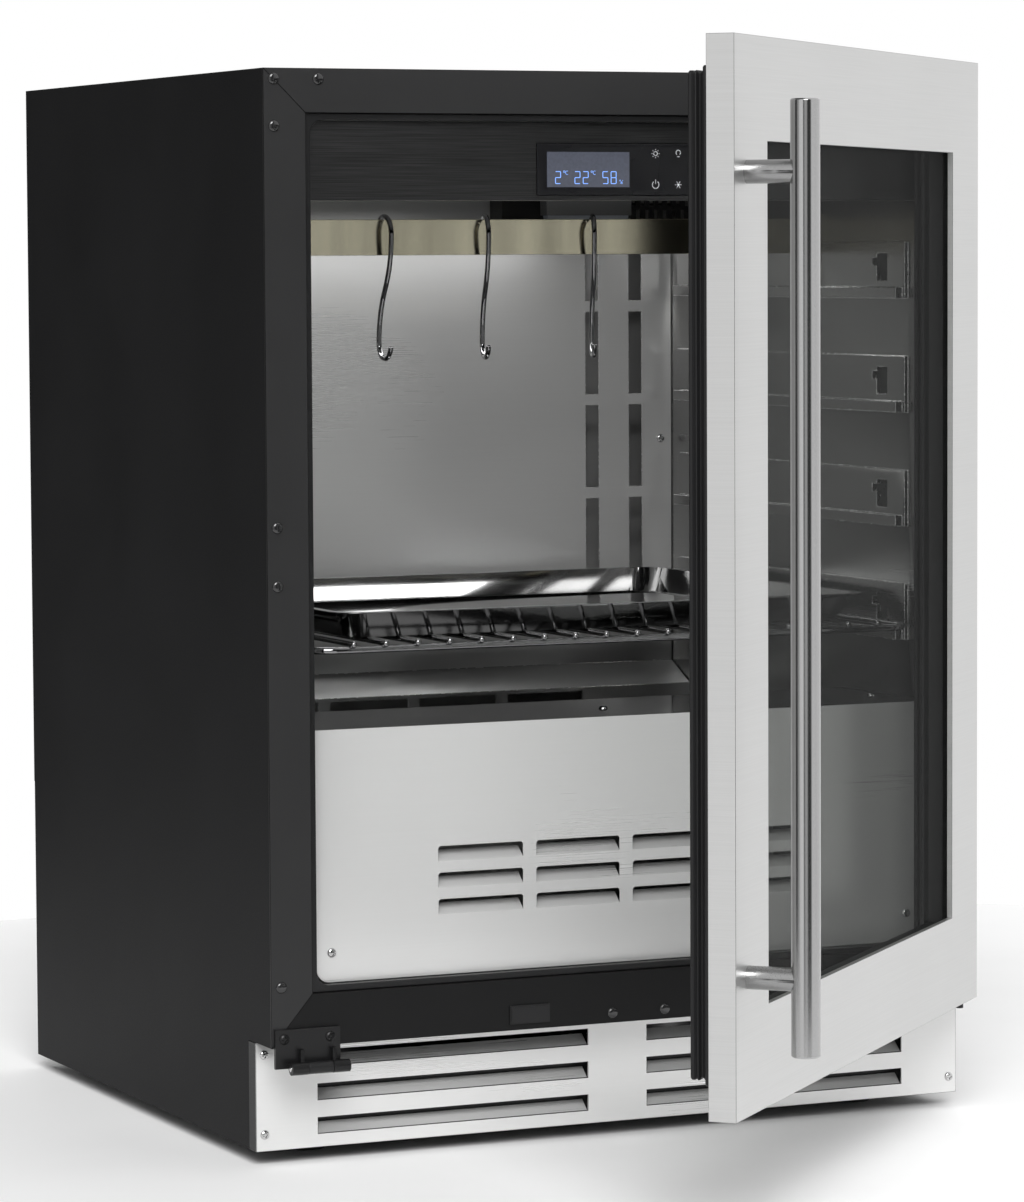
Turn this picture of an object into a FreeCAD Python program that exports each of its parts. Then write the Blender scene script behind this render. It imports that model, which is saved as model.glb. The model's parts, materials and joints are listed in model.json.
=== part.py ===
"""Undercounter dry-ageing refrigerator cabinet with a right-hung glass door.

Millimetres, +Z up, +Y towards the back.  The origin is on the floor, in the middle of the
width, in the plane of the cabinet's front frame.  The door stands open by "open_angle".
"""

import FreeCAD, Part

import math
import os

import Sketcher

DOC = FreeCAD.newDocument("dry_ager")
SHEET = DOC.addObject("Spreadsheet::Sheet", "Dims")
NODES = []

# ---------------------------------------------------------------- driving dimensions
DIMENSIONS = [
    # cabinet
    ("cab_width", 595), ("cab_depth", 530), ("cab_top", 811), ("base_level", 11),
    ("sheet_steel", 1), ("clear_gap", 0.3), ("toe_depth", 46.6), ("toe_height", 93),
    # front frame, mitred from four folded strips
    ("stile_width", 33), ("head_width", 32.3), ("sill_width", 38.9), ("frame_skin", 2),
    ("frame_return", 9), ("trim_front", 3), ("trim_back", 9.8), ("trim_wall", 5), ("trim_radius", 10),
    ("cap_radius", 4.4), ("cap_height", 2), ("sill_cover_left", -105.2), ("sill_cover_right", -72.4),
    ("sill_cover_low", 97.7), ("sill_cover_high", 111.8),
    # interior
    ("wall_face", 259), ("liner_front", 10), ("liner_back", 498), ("liner_floor", 135),
    ("liner_ceiling", 776), ("hump_front", 270), ("hump_top", 270), ("chamber_front", 300),
    ("chamber_top", 240), ("foam_gap", 0.1),
    # pressed shelf ledges of the side walls
    ("ledge_first", 371), ("ledge_pitch", 89.3), ("ledge_height", 44), ("ledge_front", 41),
    ("ledge_back", 440), ("ledge_press", 3), ("runner_height", 8.7), ("runner_reach", 9),
    ("key_width", 17.2), ("key_height", 21.2), ("key_front", 69.3), ("key_back", 345),
    ("key_level", 14), ("key_notch", 7.4),
    # back duct cover
    ("duct_face", 457), ("duct_top", 775.5), ("duct_half", 258), ("duct_bend", 325),
    ("duct_step", 35), ("duct_drop", 17), ("duct_foot", 292.3), ("duct_slot_width", 12),
    ("duct_slot_height", 70), ("duct_slot_pitch", 79.6), ("duct_slot_first", 396.2),
    ("duct_slot_inner", 177), ("duct_slot_outer", 218),
    # lower cover with its vent slots
    ("cover_face", 15), ("cover_half", 255), ("cover_bottom", 137), ("cover_top", 325),
    ("cover_flat", 150), ("cover_end", 421), ("cover_end_level", 293), ("cover_radius", 10),
    ("vent_width", 70), ("vent_height", 11.3), ("vent_gap", 10.8), ("vent_row_pitch", 20),
    ("vent_first", 182.4), ("vent_radius", 2.5), ("lip_reach", 9), ("lip_rise", 7.5),
    # header and display
    ("header_face", 10), ("header_bottom", 715), ("header_top", 773.6), ("display_half", 74.4),
    ("display_bottom", 718.8), ("display_top", 757.4), ("screen_left", -66.5), ("screen_right", 2),
    ("screen_bottom", 724.8), ("screen_top", 751.3),
    # fan housing, lamp and evaporator
    ("housing_front", 235), ("housing_bottom", 690), ("housing_left", -1), ("housing_right", 257),
    ("housing_sheet", 1.5), ("housing_end", 88),
    ("inlet_x", 150), ("inlet_y", 345), ("inlet_radius", 58), ("arm_half", 60), ("grille_left", 109.5),
    ("grille_slot", 3.4), ("grille_pitch", 8), ("grille_row", 12), ("grille_slot_height", 9),
    ("lamp_left", 32), ("lamp_right", 107), ("lamp_bottom", 705.5), ("lamp_top", 730),
    ("lamp_depth", 13), ("lamp_radius", 5), ("fins_half", 165), ("fins_front", 462), ("fins_back", 494),
    ("fins_low", 430), ("fins_high", 650), ("fins_first", -148), ("fins_pitch", 24), ("fins_gap", 8),
    ("fins_depth", 20),
    # hanging bar and hooks
    ("bar_y", 204.5), ("bar_thick", 3), ("bar_bottom", 674.5), ("bar_top", 702.5), ("bar_half", 254.2),
    ("hook_wire", 4), ("hook_height", 111), ("hook_top_radius", 14), ("hook_low_radius", 12),
    ("hook_gap", 0.4), ("hook_leg", 8),
    # wire shelf and tray
    ("rail_radius", 2.75), ("wire_radius", 2), ("shelf_half", 252.5), ("shelf_front", 24),
    ("shelf_back", 430), ("shelf_corner", 20), ("wire_pitch", 26), ("wire_count", 18),
    ("wire_sink", 0.6), ("tray_half", 225), ("tray_front", 38), ("tray_back", 418),
    ("tray_height", 20), ("tray_wall", 0.8), ("tray_slope", 10), ("tray_rim", 6), ("tray_corner", 22),
    # kick plate
    ("kick_face", 32), ("kick_sheet", 1.2), ("kick_slot_inner", 25.1), ("kick_slot_outer", 248),
    ("kick_slot_height", 12), ("kick_slot_first", 21.2), ("kick_slot_pitch", 25.4), ("ear_width", 16),
    # support bracket at the lower left
    ("bracket_left", -295.5), ("bracket_right", -244), ("bracket_bottom", 78), ("bracket_top", 107),
    ("barrel_y", -12), ("barrel_z", 79), ("barrel_radius", 4.7), ("barrel_left", -287),
    ("barrel_right", -241), ("roller_left", -273.7), ("roller_right", -254.3), ("roller_radius", 4.5),
    ("roller_pin", 2), ("running_gap", 0.05), ("rib_first", -277.5), ("rib_second", -252),
    ("rib_height", 14),
    # door
    ("door_half", 295), ("door_bottom", 94), ("door_top", 820), ("door_front", -41),
    ("door_rear", -21.3), ("skin_sheet", 1.2), ("skin_lip", 20), ("window_margin", 70),
    ("window_return", 3), ("liner_inset", 18), ("liner_rear", -12), ("sight_margin", 59),
    ("pane_margin", 50), ("pane_thick", 4), ("pane_front", -36.6), ("cavity_gap", 11),
    ("spacer_margin", 67), ("spacer_width", 12), ("gasket_inset", 23), ("gasket_width", 14),
    ("gasket_rear", -0.5), ("open_angle", 44.3), ("pin_x", 261.6), ("pin_y", -36.5),
    ("pin_radius", 2.5), ("pin_length", 11), ("hinge_plate", 3), ("neck_half", 3),
    # handle
    ("handle_radius", 10), ("handle_length", 640), ("handle_inset", 26.5), ("handle_reach", 40.5),
    ("post_radius", 8), ("post_spacing", 540), ("post_lift", 2),
    # feet
    ("foot_x", 235), ("foot_front", 95), ("foot_back", 490), ("foot_radius", 18), ("stud_radius", 5),
    ("stud_top", 45),
    # machine chamber
    ("pot_x", 120), ("pot_y", 415), ("pot_radius", 72), ("pot_height", 165), ("blower_x", -150),
    ("blower_z", 125), ("blower_radius", 72), ("shaft_radius", 3), ("coil_half", 90), ("coil_front", 345),
    ("coil_back", 380), ("coil_low", 30), ("coil_high", 222), ("coil_first", 38), ("coil_pitch", 15),
    ("coil_gap", 9), ("coil_depth", 27), ("shroud_front", 384), ("shroud_sheet", 4), ("shroud_half", 88),
    ("shroud_low", 32), ("shroud_high", 218), ("stay_back", 444), ("stay_half", 86), ("can_radius", 30),
    ("can_length", 36),
    # defrost pan, rear cover and the lead's gland
    ("pan_left", -45), ("pan_right", 35), ("pan_front", 330), ("pan_back", 500), ("pan_low", 14),
    ("pan_high", 44), ("pan_wall", 2), ("rear_half", 285), ("rear_slot_first", -245),
    ("rear_slot_width", 110), ("rear_slot_step", 135), ("rear_slot_low", 50), ("rear_slot_height", 8),
    ("rear_slot_run", 150), ("gland_x", 235), ("gland_z", 60), ("gland_radius", 10),
    ("gland_flange", 14), ("gland_bore", 4),
]
FRAME_CAPS = [(-289.3, 803.3), (-254.4, 803.3), (-289.3, 769), (-289.3, 476.5), (-289.3, 433.5),
              (-289.3, 138), (-19.3, 100.6), (24.8, 100.6)]
HOOK_PLACES = [("hook_left", -116, 0), ("hook_middle", -30, -12), ("hook_right", 64, -20)]


def fill_sheet():
    """Writes each driving dimension and its alias into the sheet."""
    for row, (alias, size) in enumerate(DIMENSIONS, start=1):
        SHEET.set("A%d" % row, alias)
        SHEET.set("B%d" % row, str(size))
        SHEET.setAlias("B%d" % row, alias)
    DOC.recompute()


ALIASES = {alias for alias, _ in DIMENSIONS}


def formula(text):
    """A formula in the sheet's aliases, written the way the expression engine reads it."""
    words, word = [], ""
    for letter in str(text) + " ":
        if letter.isalnum() or letter in "_.":
            word += letter
            continue
        words.append("Dims." + word if word in ALIASES else word)
        words.append(letter)
        word = ""
    return "".join(words).strip()


def number(text):
    """The present value of a formula."""
    return float(SHEET.evalExpression(formula(text)))


def bind(item, prop, text):
    item.setExpression(prop, formula(text))


# ---------------------------------------------------------------- small building blocks
def block(name, x_span, y_span, z_span):
    """A box between two formulas on each axis."""
    item = DOC.addObject("Part::Box", name)
    for side, axis, (low, high) in zip(("Length", "Width", "Height"), "xyz", (x_span, y_span, z_span)):
        bind(item, side, "(%s) - (%s)" % (high, low))
        bind(item, "Placement.Base." + axis, low)
    return item


TURNS = {
    "x": FreeCAD.Rotation(FreeCAD.Vector(0, 1, 0), 90),
    "y": FreeCAD.Rotation(FreeCAD.Vector(1, 0, 0), -90),
    "z": FreeCAD.Rotation(),
}


def rod(name, axis, start, radius, length):
    """A cylinder from start (three formulas) along an axis."""
    item = DOC.addObject("Part::Cylinder", name)
    item.Placement = FreeCAD.Placement(FreeCAD.Vector(), TURNS[axis])
    bind(item, "Radius", radius)
    bind(item, "Height", length)
    for letter, place in zip("xyz", start):
        bind(item, "Placement.Base." + letter, place)
    return item


def together(name, pieces, kind="Part::MultiFuse"):
    item = DOC.addObject(kind, name)
    if kind == "Part::Compound":
        item.Links = pieces
    else:
        item.Shapes = pieces
    return item


def cut(name, base, tools):
    """The base without the tools; several tools are first joined in a compound."""
    item = DOC.addObject("Part::Cut", name)
    item.Base = base
    item.Tool = tools[0] if len(tools) == 1 else together(name + "_tools", tools, "Part::Compound")
    return item


def node(item, name):
    """Marks a finished sub-part: its label is its file's name."""
    item.Label = name
    NODES.append(item)
    return item


def hang(item):
    """Turns a door piece, modelled closed, about the hinge pin to where the door stands."""
    upright = FreeCAD.Vector(0, 0, 1)
    item.Placement = FreeCAD.Placement(FreeCAD.Vector(), FreeCAD.Rotation(upright, number("open_angle")))
    bind(item, "Placement.Rotation.Angle", "open_angle")
    bind(item, "Placement.Base.x", "pin_x - pin_x * cos(open_angle) + pin_y * sin(open_angle)")
    bind(item, "Placement.Base.y", "pin_y - pin_x * sin(open_angle) - pin_y * cos(open_angle)")
    return item


# ---------------------------------------------------------------- sketched features
def body(name):
    return DOC.addObject("PartDesign::Body", name)


def sketch(owner, role, level="0"):
    """A sketch on one of the body's origin planes, lifted to a level along its normal."""
    item = owner.newObject("Sketcher::SketchObject", owner.Name + "_sketch")
    plane = [feature for feature in owner.Origin.OriginFeatures if feature.Role == role][0]
    item.AttachmentSupport = [(plane, "")]
    item.MapMode = "FlatFace"
    bind(item, "AttachmentOffset.Base.z", level)
    return item


def fix_point(item, geometry, which, place):
    """Holds one end of a line at a place given by two formulas."""
    for kind, text in zip(("DistanceX", "DistanceY"), place):
        index = item.addConstraint(Sketcher.Constraint(kind, -1, 1, geometry, which, number(text)))
        item.setExpression("Constraints[%d]" % index, formula(text))


def outline(item, points):
    """A closed outline of straight lines through points given by formulas."""
    spots = [FreeCAD.Vector(number(first), number(second), 0) for first, second in points]
    lines = []
    for here, there in zip(spots, spots[1:] + spots[:1]):
        lines.append(item.addGeometry(Part.LineSegment(here, there), False))
    for line, following, place in zip(lines, lines[1:] + lines[:1], points):
        fix_point(item, line, 1, place)
        item.addConstraint(Sketcher.Constraint("Coincident", line, 2, following, 1))
    return item


def oblong(item, x_span, y_span):
    (left, right), (low, high) = x_span, y_span
    return outline(item, [(left, low), (right, low), (right, high), (left, high)])


def ring(item, place, radius):
    """A circle whose centre and radius are formulas."""
    centre = FreeCAD.Vector(number(place[0]), number(place[1]), 0)
    circle = item.addGeometry(Part.Circle(centre, FreeCAD.Vector(0, 0, 1), number(radius)), False)
    fix_point(item, circle, 3, place)
    index = item.addConstraint(Sketcher.Constraint("Radius", circle, number(radius)))
    item.setExpression("Constraints[%d]" % index, formula(radius))
    return item


def pad(owner, profile, length, reverse=False):
    item = owner.newObject("PartDesign::Pad", owner.Name + "_pad")
    item.Profile = profile
    bind(item, "Length", length)
    item.Reversed = reverse
    profile.Visibility = False
    return item


def pocket(owner, profile, length, reverse=False):
    """A pocket, checked to have taken something away."""
    DOC.recompute()
    before = owner.Shape.Volume
    item = owner.newObject("PartDesign::Pocket", owner.Name + "_pocket")
    item.Profile = profile
    bind(item, "Length", length)
    item.Reversed = reverse
    DOC.recompute()
    if not owner.Shape.Volume < before:
        raise RuntimeError("the pocket of %s cuts nothing" % owner.Name)
    return item


def repeat(owner, features, direction, length, count):
    """The features repeated along an origin axis, over a length given by a formula."""
    item = owner.newObject("PartDesign::LinearPattern", owner.Name + "_rows")
    item.Originals = features
    axis = [feature for feature in owner.Origin.OriginFeatures if feature.Role == direction][0]
    item.Direction = (axis, [""])
    bind(item, "Length", length)
    item.Occurrences = count
    owner.Tip = item
    return item


def round_edges(owner, feature, picks, radius):
    """Rounds the edges whose middle lies near one of the points."""
    DOC.recompute()
    names = []
    for index, edge in enumerate(feature.Shape.Edges, start=1):
        middle = edge.CenterOfMass
        if any(middle.distanceToPoint(FreeCAD.Vector(*pick)) < 0.5 for pick in picks):
            names.append("Edge%d" % index)
    item = owner.newObject("PartDesign::Fillet", owner.Name + "_round")
    item.Base = (feature, names)
    bind(item, "Radius", radius)
    return item


def turned(name, points, place):
    """A solid of revolution about a vertical axis; points are (radius, height) formulas."""
    owner = body(name)
    profile = outline(sketch(owner, "XZ_Plane"), points)
    spin = owner.newObject("PartDesign::Revolution", name + "_turn")
    spin.Profile = profile
    spin.ReferenceAxis = (profile, ["V_Axis"])
    spin.Angle = 360
    for letter, text in zip("xy", place):
        bind(owner, "Placement.Base." + letter, text)
    return owner


# ---------------------------------------------------------------- cabinet shell
def side_panels():
    """The two outer sides, cut back at the toe."""
    outer = "cab_width / 2"
    for name, left in (("left_side_panel", "-" + outer), ("right_side_panel", outer + " - sheet_steel")):
        owner = body(name)
        rear = "cab_depth - sheet_steel"
        points = [("frame_skin", "toe_height"), ("toe_depth", "toe_height"), ("toe_depth", "base_level"),
                  (rear, "base_level"), (rear, "cab_top"), ("frame_skin", "cab_top")]
        pad(owner, outline(sketch(owner, "YZ_Plane", left), points), "sheet_steel")
        node(owner, name)


def top_and_back():
    inner = "(cab_width / 2 - sheet_steel)"
    top = block("top_sheet", ("-" + inner, inner), ("frame_skin", "cab_depth - sheet_steel"),
                ("cab_top - sheet_steel", "cab_top"))
    node(top, "top_panel")
    back = block("back_sheet", ("-cab_width / 2", "cab_width / 2"),
                 ("cab_depth - sheet_steel", "cab_depth"), ("chamber_top", "cab_top"))
    node(back, "back_cover")


def rear_access_cover():
    """The slotted cover of the machine chamber, with the hole of the lead's gland."""
    owner = body("rear_access_cover")
    pad(owner, oblong(sketch(owner, "XZ_Plane", "-cab_depth"), ("-rear_half", "rear_half"),
                      ("base_level + 3", "chamber_top - 1")), "sheet_steel")
    profile = sketch(owner, "XZ_Plane", "-cab_depth - 1")
    for column in range(3):
        left = "rear_slot_first + %d * rear_slot_step" % column
        oblong(profile, (left, left + " + rear_slot_width"),
               ("rear_slot_low", "rear_slot_low + rear_slot_height"))
    slots = pocket(owner, profile, "sheet_steel + 2", reverse=True)
    repeat(owner, [slots], "Z_Axis", "rear_slot_run", 9)
    gland = ring(sketch(owner, "XZ_Plane", "-cab_depth - 1"), ("gland_x", "gland_z"), "gland_radius + 0.2")
    pocket(owner, gland, "sheet_steel + 2", reverse=True)
    node(owner, "rear_access_cover")


def base_pan():
    """The floor sheet of the machine chamber, turned up at the front, with four foot holes.

    Two folded ears at its front corners carry the kick plate.
    """
    front = "toe_depth - 1"
    owner = body("base_pan")
    points = [(front, "base_level"), ("cab_depth - sheet_steel", "base_level"),
              ("cab_depth - sheet_steel", "base_level + 1.5"), (front + " + 1.5", "base_level + 1.5"),
              (front + " + 1.5", "60"), (front, "60")]
    pad(owner, outline(sketch(owner, "YZ_Plane", "-cab_width / 2 + sheet_steel + 0.5"), points),
        "cab_width - 2 * sheet_steel - 1")
    near, far, skin = "kick_face + kick_sheet + 0.1", "toe_depth - 0.2", "1.5"
    ears = sketch(owner, "XY_Plane", "base_level")
    for side in ("-", ""):
        outer = side + "cab_width / 2"
        inward = "+" if side else "-"
        wall, tab = ("%s %s %s" % (outer, inward, reach) for reach in (skin, "ear_width"))
        outline(ears, [(outer, near), (outer, far), (tab, far), (tab, far + " - " + skin),
                       (wall, far + " - " + skin), (wall, near)])
    pad(owner, ears, "toe_height - 0.5 - base_level")
    holes = sketch(owner, "XY_Plane", "base_level + 2.5")
    for across in ("-foot_x", "foot_x"):
        for along in ("foot_front", "foot_back"):
            ring(holes, (across, along), "stud_radius + running_gap")
    pocket(owner, holes, "4")
    node(owner, "base_pan")


def insulation():
    """The foam between the outer sheets and the liner, open at the front."""
    outer = "(cab_width / 2 - sheet_steel - foam_gap)"
    rear = "cab_depth - sheet_steel - foam_gap"
    foam = block("foam", ("-" + outer, outer), ("liner_front", rear),
                 ("toe_height + 2.5", "cab_top - sheet_steel - foam_gap"))
    inner = "(wall_face + sheet_steel + foam_gap)"
    around = "sheet_steel + foam_gap"
    hollow = block("foam_hollow", ("-" + inner, inner), ("liner_front - 1", "liner_back + " + around),
                   ("hump_top - (%s)" % around, "liner_ceiling + " + around))
    well = block("foam_well", ("-" + inner, inner), ("liner_front - 1", "hump_front + " + around),
                 ("liner_floor - (%s)" % around, "hump_top + 1"))
    chamber = block("foam_chamber", ("-cab_width", "cab_width"), ("chamber_front", "cab_depth"),
                    ("0", "chamber_top"))
    node(cut("foam_block", foam, [hollow, well, chamber]), "insulation")


# ---------------------------------------------------------------- front frame
def front_frame():
    """Four strips mitred at the corners, each with a return that faces the opening."""
    out_x = "cab_width / 2"
    in_x = "(cab_width / 2 - stile_width)"
    in_top = "(cab_top - head_width)"
    in_low = "(toe_height + sill_width)"
    back = "frame_return"
    strips = {
        "frame_left": [("-" + out_x, "toe_height"), ("-" + in_x, in_low), ("-" + in_x, in_top),
                       ("-" + out_x, "cab_top")],
        "frame_right": [(out_x, "toe_height"), (out_x, "cab_top"), (in_x, in_top), (in_x, in_low)],
        "frame_top": [("-" + out_x, "cab_top"), ("-" + in_x, in_top), (in_x, in_top), (out_x, "cab_top")],
        "frame_bottom": [("-" + out_x, "toe_height"), (out_x, "toe_height"), (in_x, in_low),
                         ("-" + in_x, in_low)],
    }
    returns = {
        "frame_left": [("-" + in_x + " - frame_skin", "-" + in_x), (in_low + " + 2", in_top + " - 2")],
        "frame_right": [(in_x, in_x + " + frame_skin"), (in_low + " + 2", in_top + " - 2")],
        "frame_top": [("-" + in_x, in_x), (in_top, in_top + " + frame_skin")],
        "frame_bottom": [("-" + in_x, in_x), (in_low + " - frame_skin", in_low)],
    }
    for name, points in strips.items():
        owner = body(name)
        pad(owner, outline(sketch(owner, "XZ_Plane"), points), "frame_skin", reverse=True)
        x_span, z_span = returns[name]
        pad(owner, oblong(sketch(owner, "XZ_Plane"), x_span, z_span), back, reverse=True)
        if name == "frame_bottom":
            pad(owner, oblong(sketch(owner, "XZ_Plane"), ("-" + out_x + " + 2", out_x + " - 2"),
                              ("toe_height", "toe_height + frame_skin")), "30", reverse=True)
        node(owner, name)


def opening_trim():
    """The plastic strip inside the frame, with rounded corners."""
    out_x = "(cab_width / 2 - stile_width - 0.2)"
    low, high = "toe_height + sill_width + 0.2", "cab_top - head_width - 0.2"
    owner = body("opening_trim")
    profile = sketch(owner, "XZ_Plane", "-trim_front")
    oblong(profile, ("-" + out_x, out_x), (low, high))
    in_x = "(cab_width / 2 - stile_width - trim_wall)"
    in_low, in_high = low + " + trim_wall - 0.2", high + " - trim_wall + 0.2"
    oblong(profile, ("-" + in_x, in_x), (in_low, in_high))
    strip = pad(owner, profile, "trim_back - trim_front", reverse=True)
    middle = (number("trim_front") + number("trim_back")) / 2
    levels = (number(in_low), number(in_high))
    corners = [(side * number(in_x), middle, level) for side in (-1, 1) for level in levels]
    round_edges(owner, strip, corners, "trim_radius")
    node(owner, "opening_trim")


def frame_caps():
    """Domed caps over the frame's screws, and the small cover of the sill."""
    pieces = []
    for index, (across, level) in enumerate(FRAME_CAPS):
        place = (str(across), "-cap_height", str(level))
        pieces.append(rod("cap_%d" % index, "y", place, "cap_radius", "cap_height"))
    pieces.append(block("sill_cover", ("sill_cover_left", "sill_cover_right"), ("-cap_height", "0"),
                        ("sill_cover_low", "sill_cover_high")))
    node(together("caps", pieces, "Part::Compound"), "frame_caps")


# ---------------------------------------------------------------- liner
def liner_wrap():
    """Floor, hump, back and ceiling of the interior, one folded sheet."""
    skin = "sheet_steel"
    face = [("liner_front", "liner_floor"), ("hump_front", "liner_floor"), ("hump_front", "hump_top"),
            ("liner_back", "hump_top"), ("liner_back", "liner_ceiling"), ("liner_front", "liner_ceiling")]
    rear = [("liner_front", "liner_ceiling + " + skin), ("liner_back + " + skin, "liner_ceiling + " + skin),
            ("liner_back + " + skin, "hump_top - " + skin), ("hump_front + " + skin, "hump_top - " + skin),
            ("hump_front + " + skin, "liner_floor - " + skin), ("liner_front", "liner_floor - " + skin)]
    owner = body("liner_wrap")
    pad(owner, outline(sketch(owner, "YZ_Plane", "-wall_face"), face + rear), "2 * wall_face")
    node(owner, "liner_wrap")


def side_walls():
    """Side walls with four pressed ledges; the right one mirrors the left."""
    owner = body("wall_sheet")
    step, rear = "hump_front + sheet_steel", "liner_back + sheet_steel"
    low, shelf, high = "liner_floor - sheet_steel", "hump_top - sheet_steel", "liner_ceiling + sheet_steel"
    points = [("liner_front", low), (step, low), (step, shelf), (rear, shelf), (rear, high),
              ("liner_front", high)]
    pad(owner, outline(sketch(owner, "YZ_Plane", "-wall_face - sheet_steel"), points), "sheet_steel")
    raised, keys = [owner], []
    for row in range(4):
        level = "ledge_first + %d * ledge_pitch" % row
        raised.append(block("ledge_%d" % row, ("-wall_face - 0.5", "-wall_face + ledge_press"),
                            ("ledge_front", "ledge_back"), (level, level + " + ledge_height")))
        raised.append(block("runner_%d" % row, ("-wall_face - 0.5", "-wall_face + runner_reach"),
                            ("ledge_front + 4", "ledge_back - 4"), (level, level + " + runner_height")))
        for along in ("key_front", "key_back"):
            low = level + " + key_level"
            keys.append(block("key_%d" % row, ("-wall_face - 2", "-wall_face + 5"),
                              (along, along + " + key_width"), (low, low + " + key_height")))
            notch = low + " + 0.55 * key_height"
            keys.append(block("notch_%d" % row, ("-wall_face - 2", "-wall_face + 5"),
                              (along + " + key_width", along + " + key_width + key_notch"),
                              (notch, notch + " + 6")))
    left = cut("left_wall", together("ledged_wall", raised), keys)
    node(left, "liner_left_wall")
    right = DOC.addObject("Part::Mirroring", "right_wall")
    right.Source = left
    right.Base = FreeCAD.Vector(0, 0, 0)
    right.Normal = FreeCAD.Vector(1, 0, 0)
    node(right, "liner_right_wall")


def back_duct_cover():
    """The sheet in front of the evaporator: tall slots at each side, a slotted foot below."""
    back = "duct_face + sheet_steel"
    step = "duct_face - duct_step"
    low = "duct_bend - duct_drop"
    owner = body("back_duct_cover")
    points = [("duct_face", "duct_top"), ("duct_face", "duct_bend"), (step, low), (step, "duct_foot"),
              (step + " + sheet_steel", "duct_foot"), (step + " + sheet_steel", low + " - 0.5"),
              (back, "duct_bend - 0.5"), (back, "duct_top")]
    pad(owner, outline(sketch(owner, "YZ_Plane", "-duct_half"), points), "2 * duct_half")
    tall = sketch(owner, "XZ_Plane", "-duct_face - 3")
    for inner in ("duct_slot_inner", "duct_slot_outer"):
        outer = "(%s + duct_slot_width)" % inner
        rows = ("duct_slot_first", "duct_slot_first + duct_slot_height")
        oblong(tall, (inner, outer), rows)
        oblong(tall, ("-" + outer, "-" + inner), rows)
    slots = pocket(owner, tall, "6", reverse=True)
    repeat(owner, [slots], "Z_Axis", "3 * duct_slot_pitch", 4)
    vent_sketch = sketch(owner, "XZ_Plane", "-duct_face + duct_step - 3")
    vent_row(vent_sketch, "duct_foot + 1.2")
    pocket(owner, vent_sketch, "6", reverse=True)
    inlet = sketch(owner, "XZ_Plane", "-duct_face - 3")
    oblong(inlet, ("housing_end + 16", "housing_right - 20"), ("housing_bottom + 12", "duct_top - 10"))
    pocket(owner, inlet, "6", reverse=True)
    node(owner, "back_duct_cover")


def vent_row(profile, level):
    """Four vent slots in a row, centred on the width."""
    for place in (-1.5, -0.5, 0.5, 1.5):
        middle = "%s * (vent_width + vent_gap)" % place
        oblong(profile, (middle + " - vent_width / 2", middle + " + vent_width / 2"),
               (level, level + " + vent_height"))


def louvre_lips(owner, back, low, sheet, starts, length):
    """Flaps folded in and up from the lower edges of a row of slots."""
    lips = []
    points = [(back + " - 0.3", low + " - " + sheet),
              (back + " + lip_reach", low + " + lip_rise - " + sheet),
              (back + " + lip_reach", low + " + lip_rise"), (back + " - 0.3", low)]
    for start in starts:
        lips.append(pad(owner, outline(sketch(owner, "YZ_Plane", start), points), length))
    return lips


def lower_cover():
    """The folded cover of the lower space: slotted front, flat top and a slope to the back."""
    skin = "sheet_steel"
    owner = body("lower_cover")
    points = [("cover_face", "cover_bottom"), ("cover_face", "cover_top"), ("cover_flat", "cover_top"),
              ("cover_end", "cover_end_level"), ("cover_end", "cover_end_level - " + skin),
              ("cover_flat", "cover_top - " + skin), ("cover_face + " + skin, "cover_top - " + skin),
              ("cover_face + " + skin, "cover_bottom")]
    folded = pad(owner, outline(sketch(owner, "YZ_Plane", "-cover_half"), points), "2 * cover_half")
    middle = number("cover_face") + number(skin) / 2
    corners = [(side * number("cover_half"), middle, number("cover_bottom")) for side in (-1, 1)]
    round_edges(owner, folded, corners, "cover_radius")
    profile = sketch(owner, "XZ_Plane", "-cover_face - 3")
    vent_row(profile, "vent_first")
    slots = pocket(owner, profile, "6", reverse=True)
    spans = [("%s * (vent_width + vent_gap) - vent_width / 2" % place) for place in (-1.5, -0.5, 0.5, 1.5)]
    lips = louvre_lips(owner, "cover_face + sheet_steel", "vent_first", "sheet_steel", spans, "vent_width")
    rows = repeat(owner, [slots] + lips, "Z_Axis", "2 * vent_row_pitch", 3)
    corners = []
    for place in (-1.5, -0.5, 0.5, 1.5):
        for half in ("- vent_width / 2", "+ vent_width / 2"):
            across = number("%s * (vent_width + vent_gap) %s" % (place, half))
            for row in range(3):
                level = number("vent_first + vent_height + %d * vent_row_pitch" % row)
                corners.append((across, middle, level))
    owner.Tip = round_edges(owner, rows, corners, "vent_radius")
    node(owner, "lower_cover")


# ---------------------------------------------------------------- header, display and fan housing
def header():
    """The brushed header with its bottom return and the display's cut-out."""
    wide = "(wall_face - clear_gap)"
    face = block("header_front", ("-" + wide, wide), ("header_face", "header_face + 2"),
                 ("header_bottom", "header_top"))
    under = block("header_under", ("-" + wide, wide), ("header_face", "header_face + 30"),
                  ("header_bottom", "header_bottom + 2"))
    hole = block("header_hole", ("-display_half - 0.2", "display_half + 0.2"),
                 ("header_face - 1", "header_face + 3"), ("display_bottom - 0.2", "display_top + 0.2"))
    node(cut("header_sheet", together("header_fold", [face, under]), [hole]), "header_panel")
    front = "header_face - 1"
    case = block("display_case", ("-display_half", "display_half"), (front, "header_face + 18"),
                 ("display_bottom", "display_top"))
    seat = block("screen_seat", ("screen_left", "screen_right"), (front + " - 1", front + " + 1.5"),
                 ("screen_bottom", "screen_top"))
    node(cut("display_body", case, [seat]), "display_module")
    screen = block("screen", ("screen_left + 0.1", "screen_right - 0.1"),
                   (front + " + 0.2", front + " + 1.4"), ("screen_bottom + 0.1", "screen_top - 0.1"))
    node(screen, "display_screen")


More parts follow.
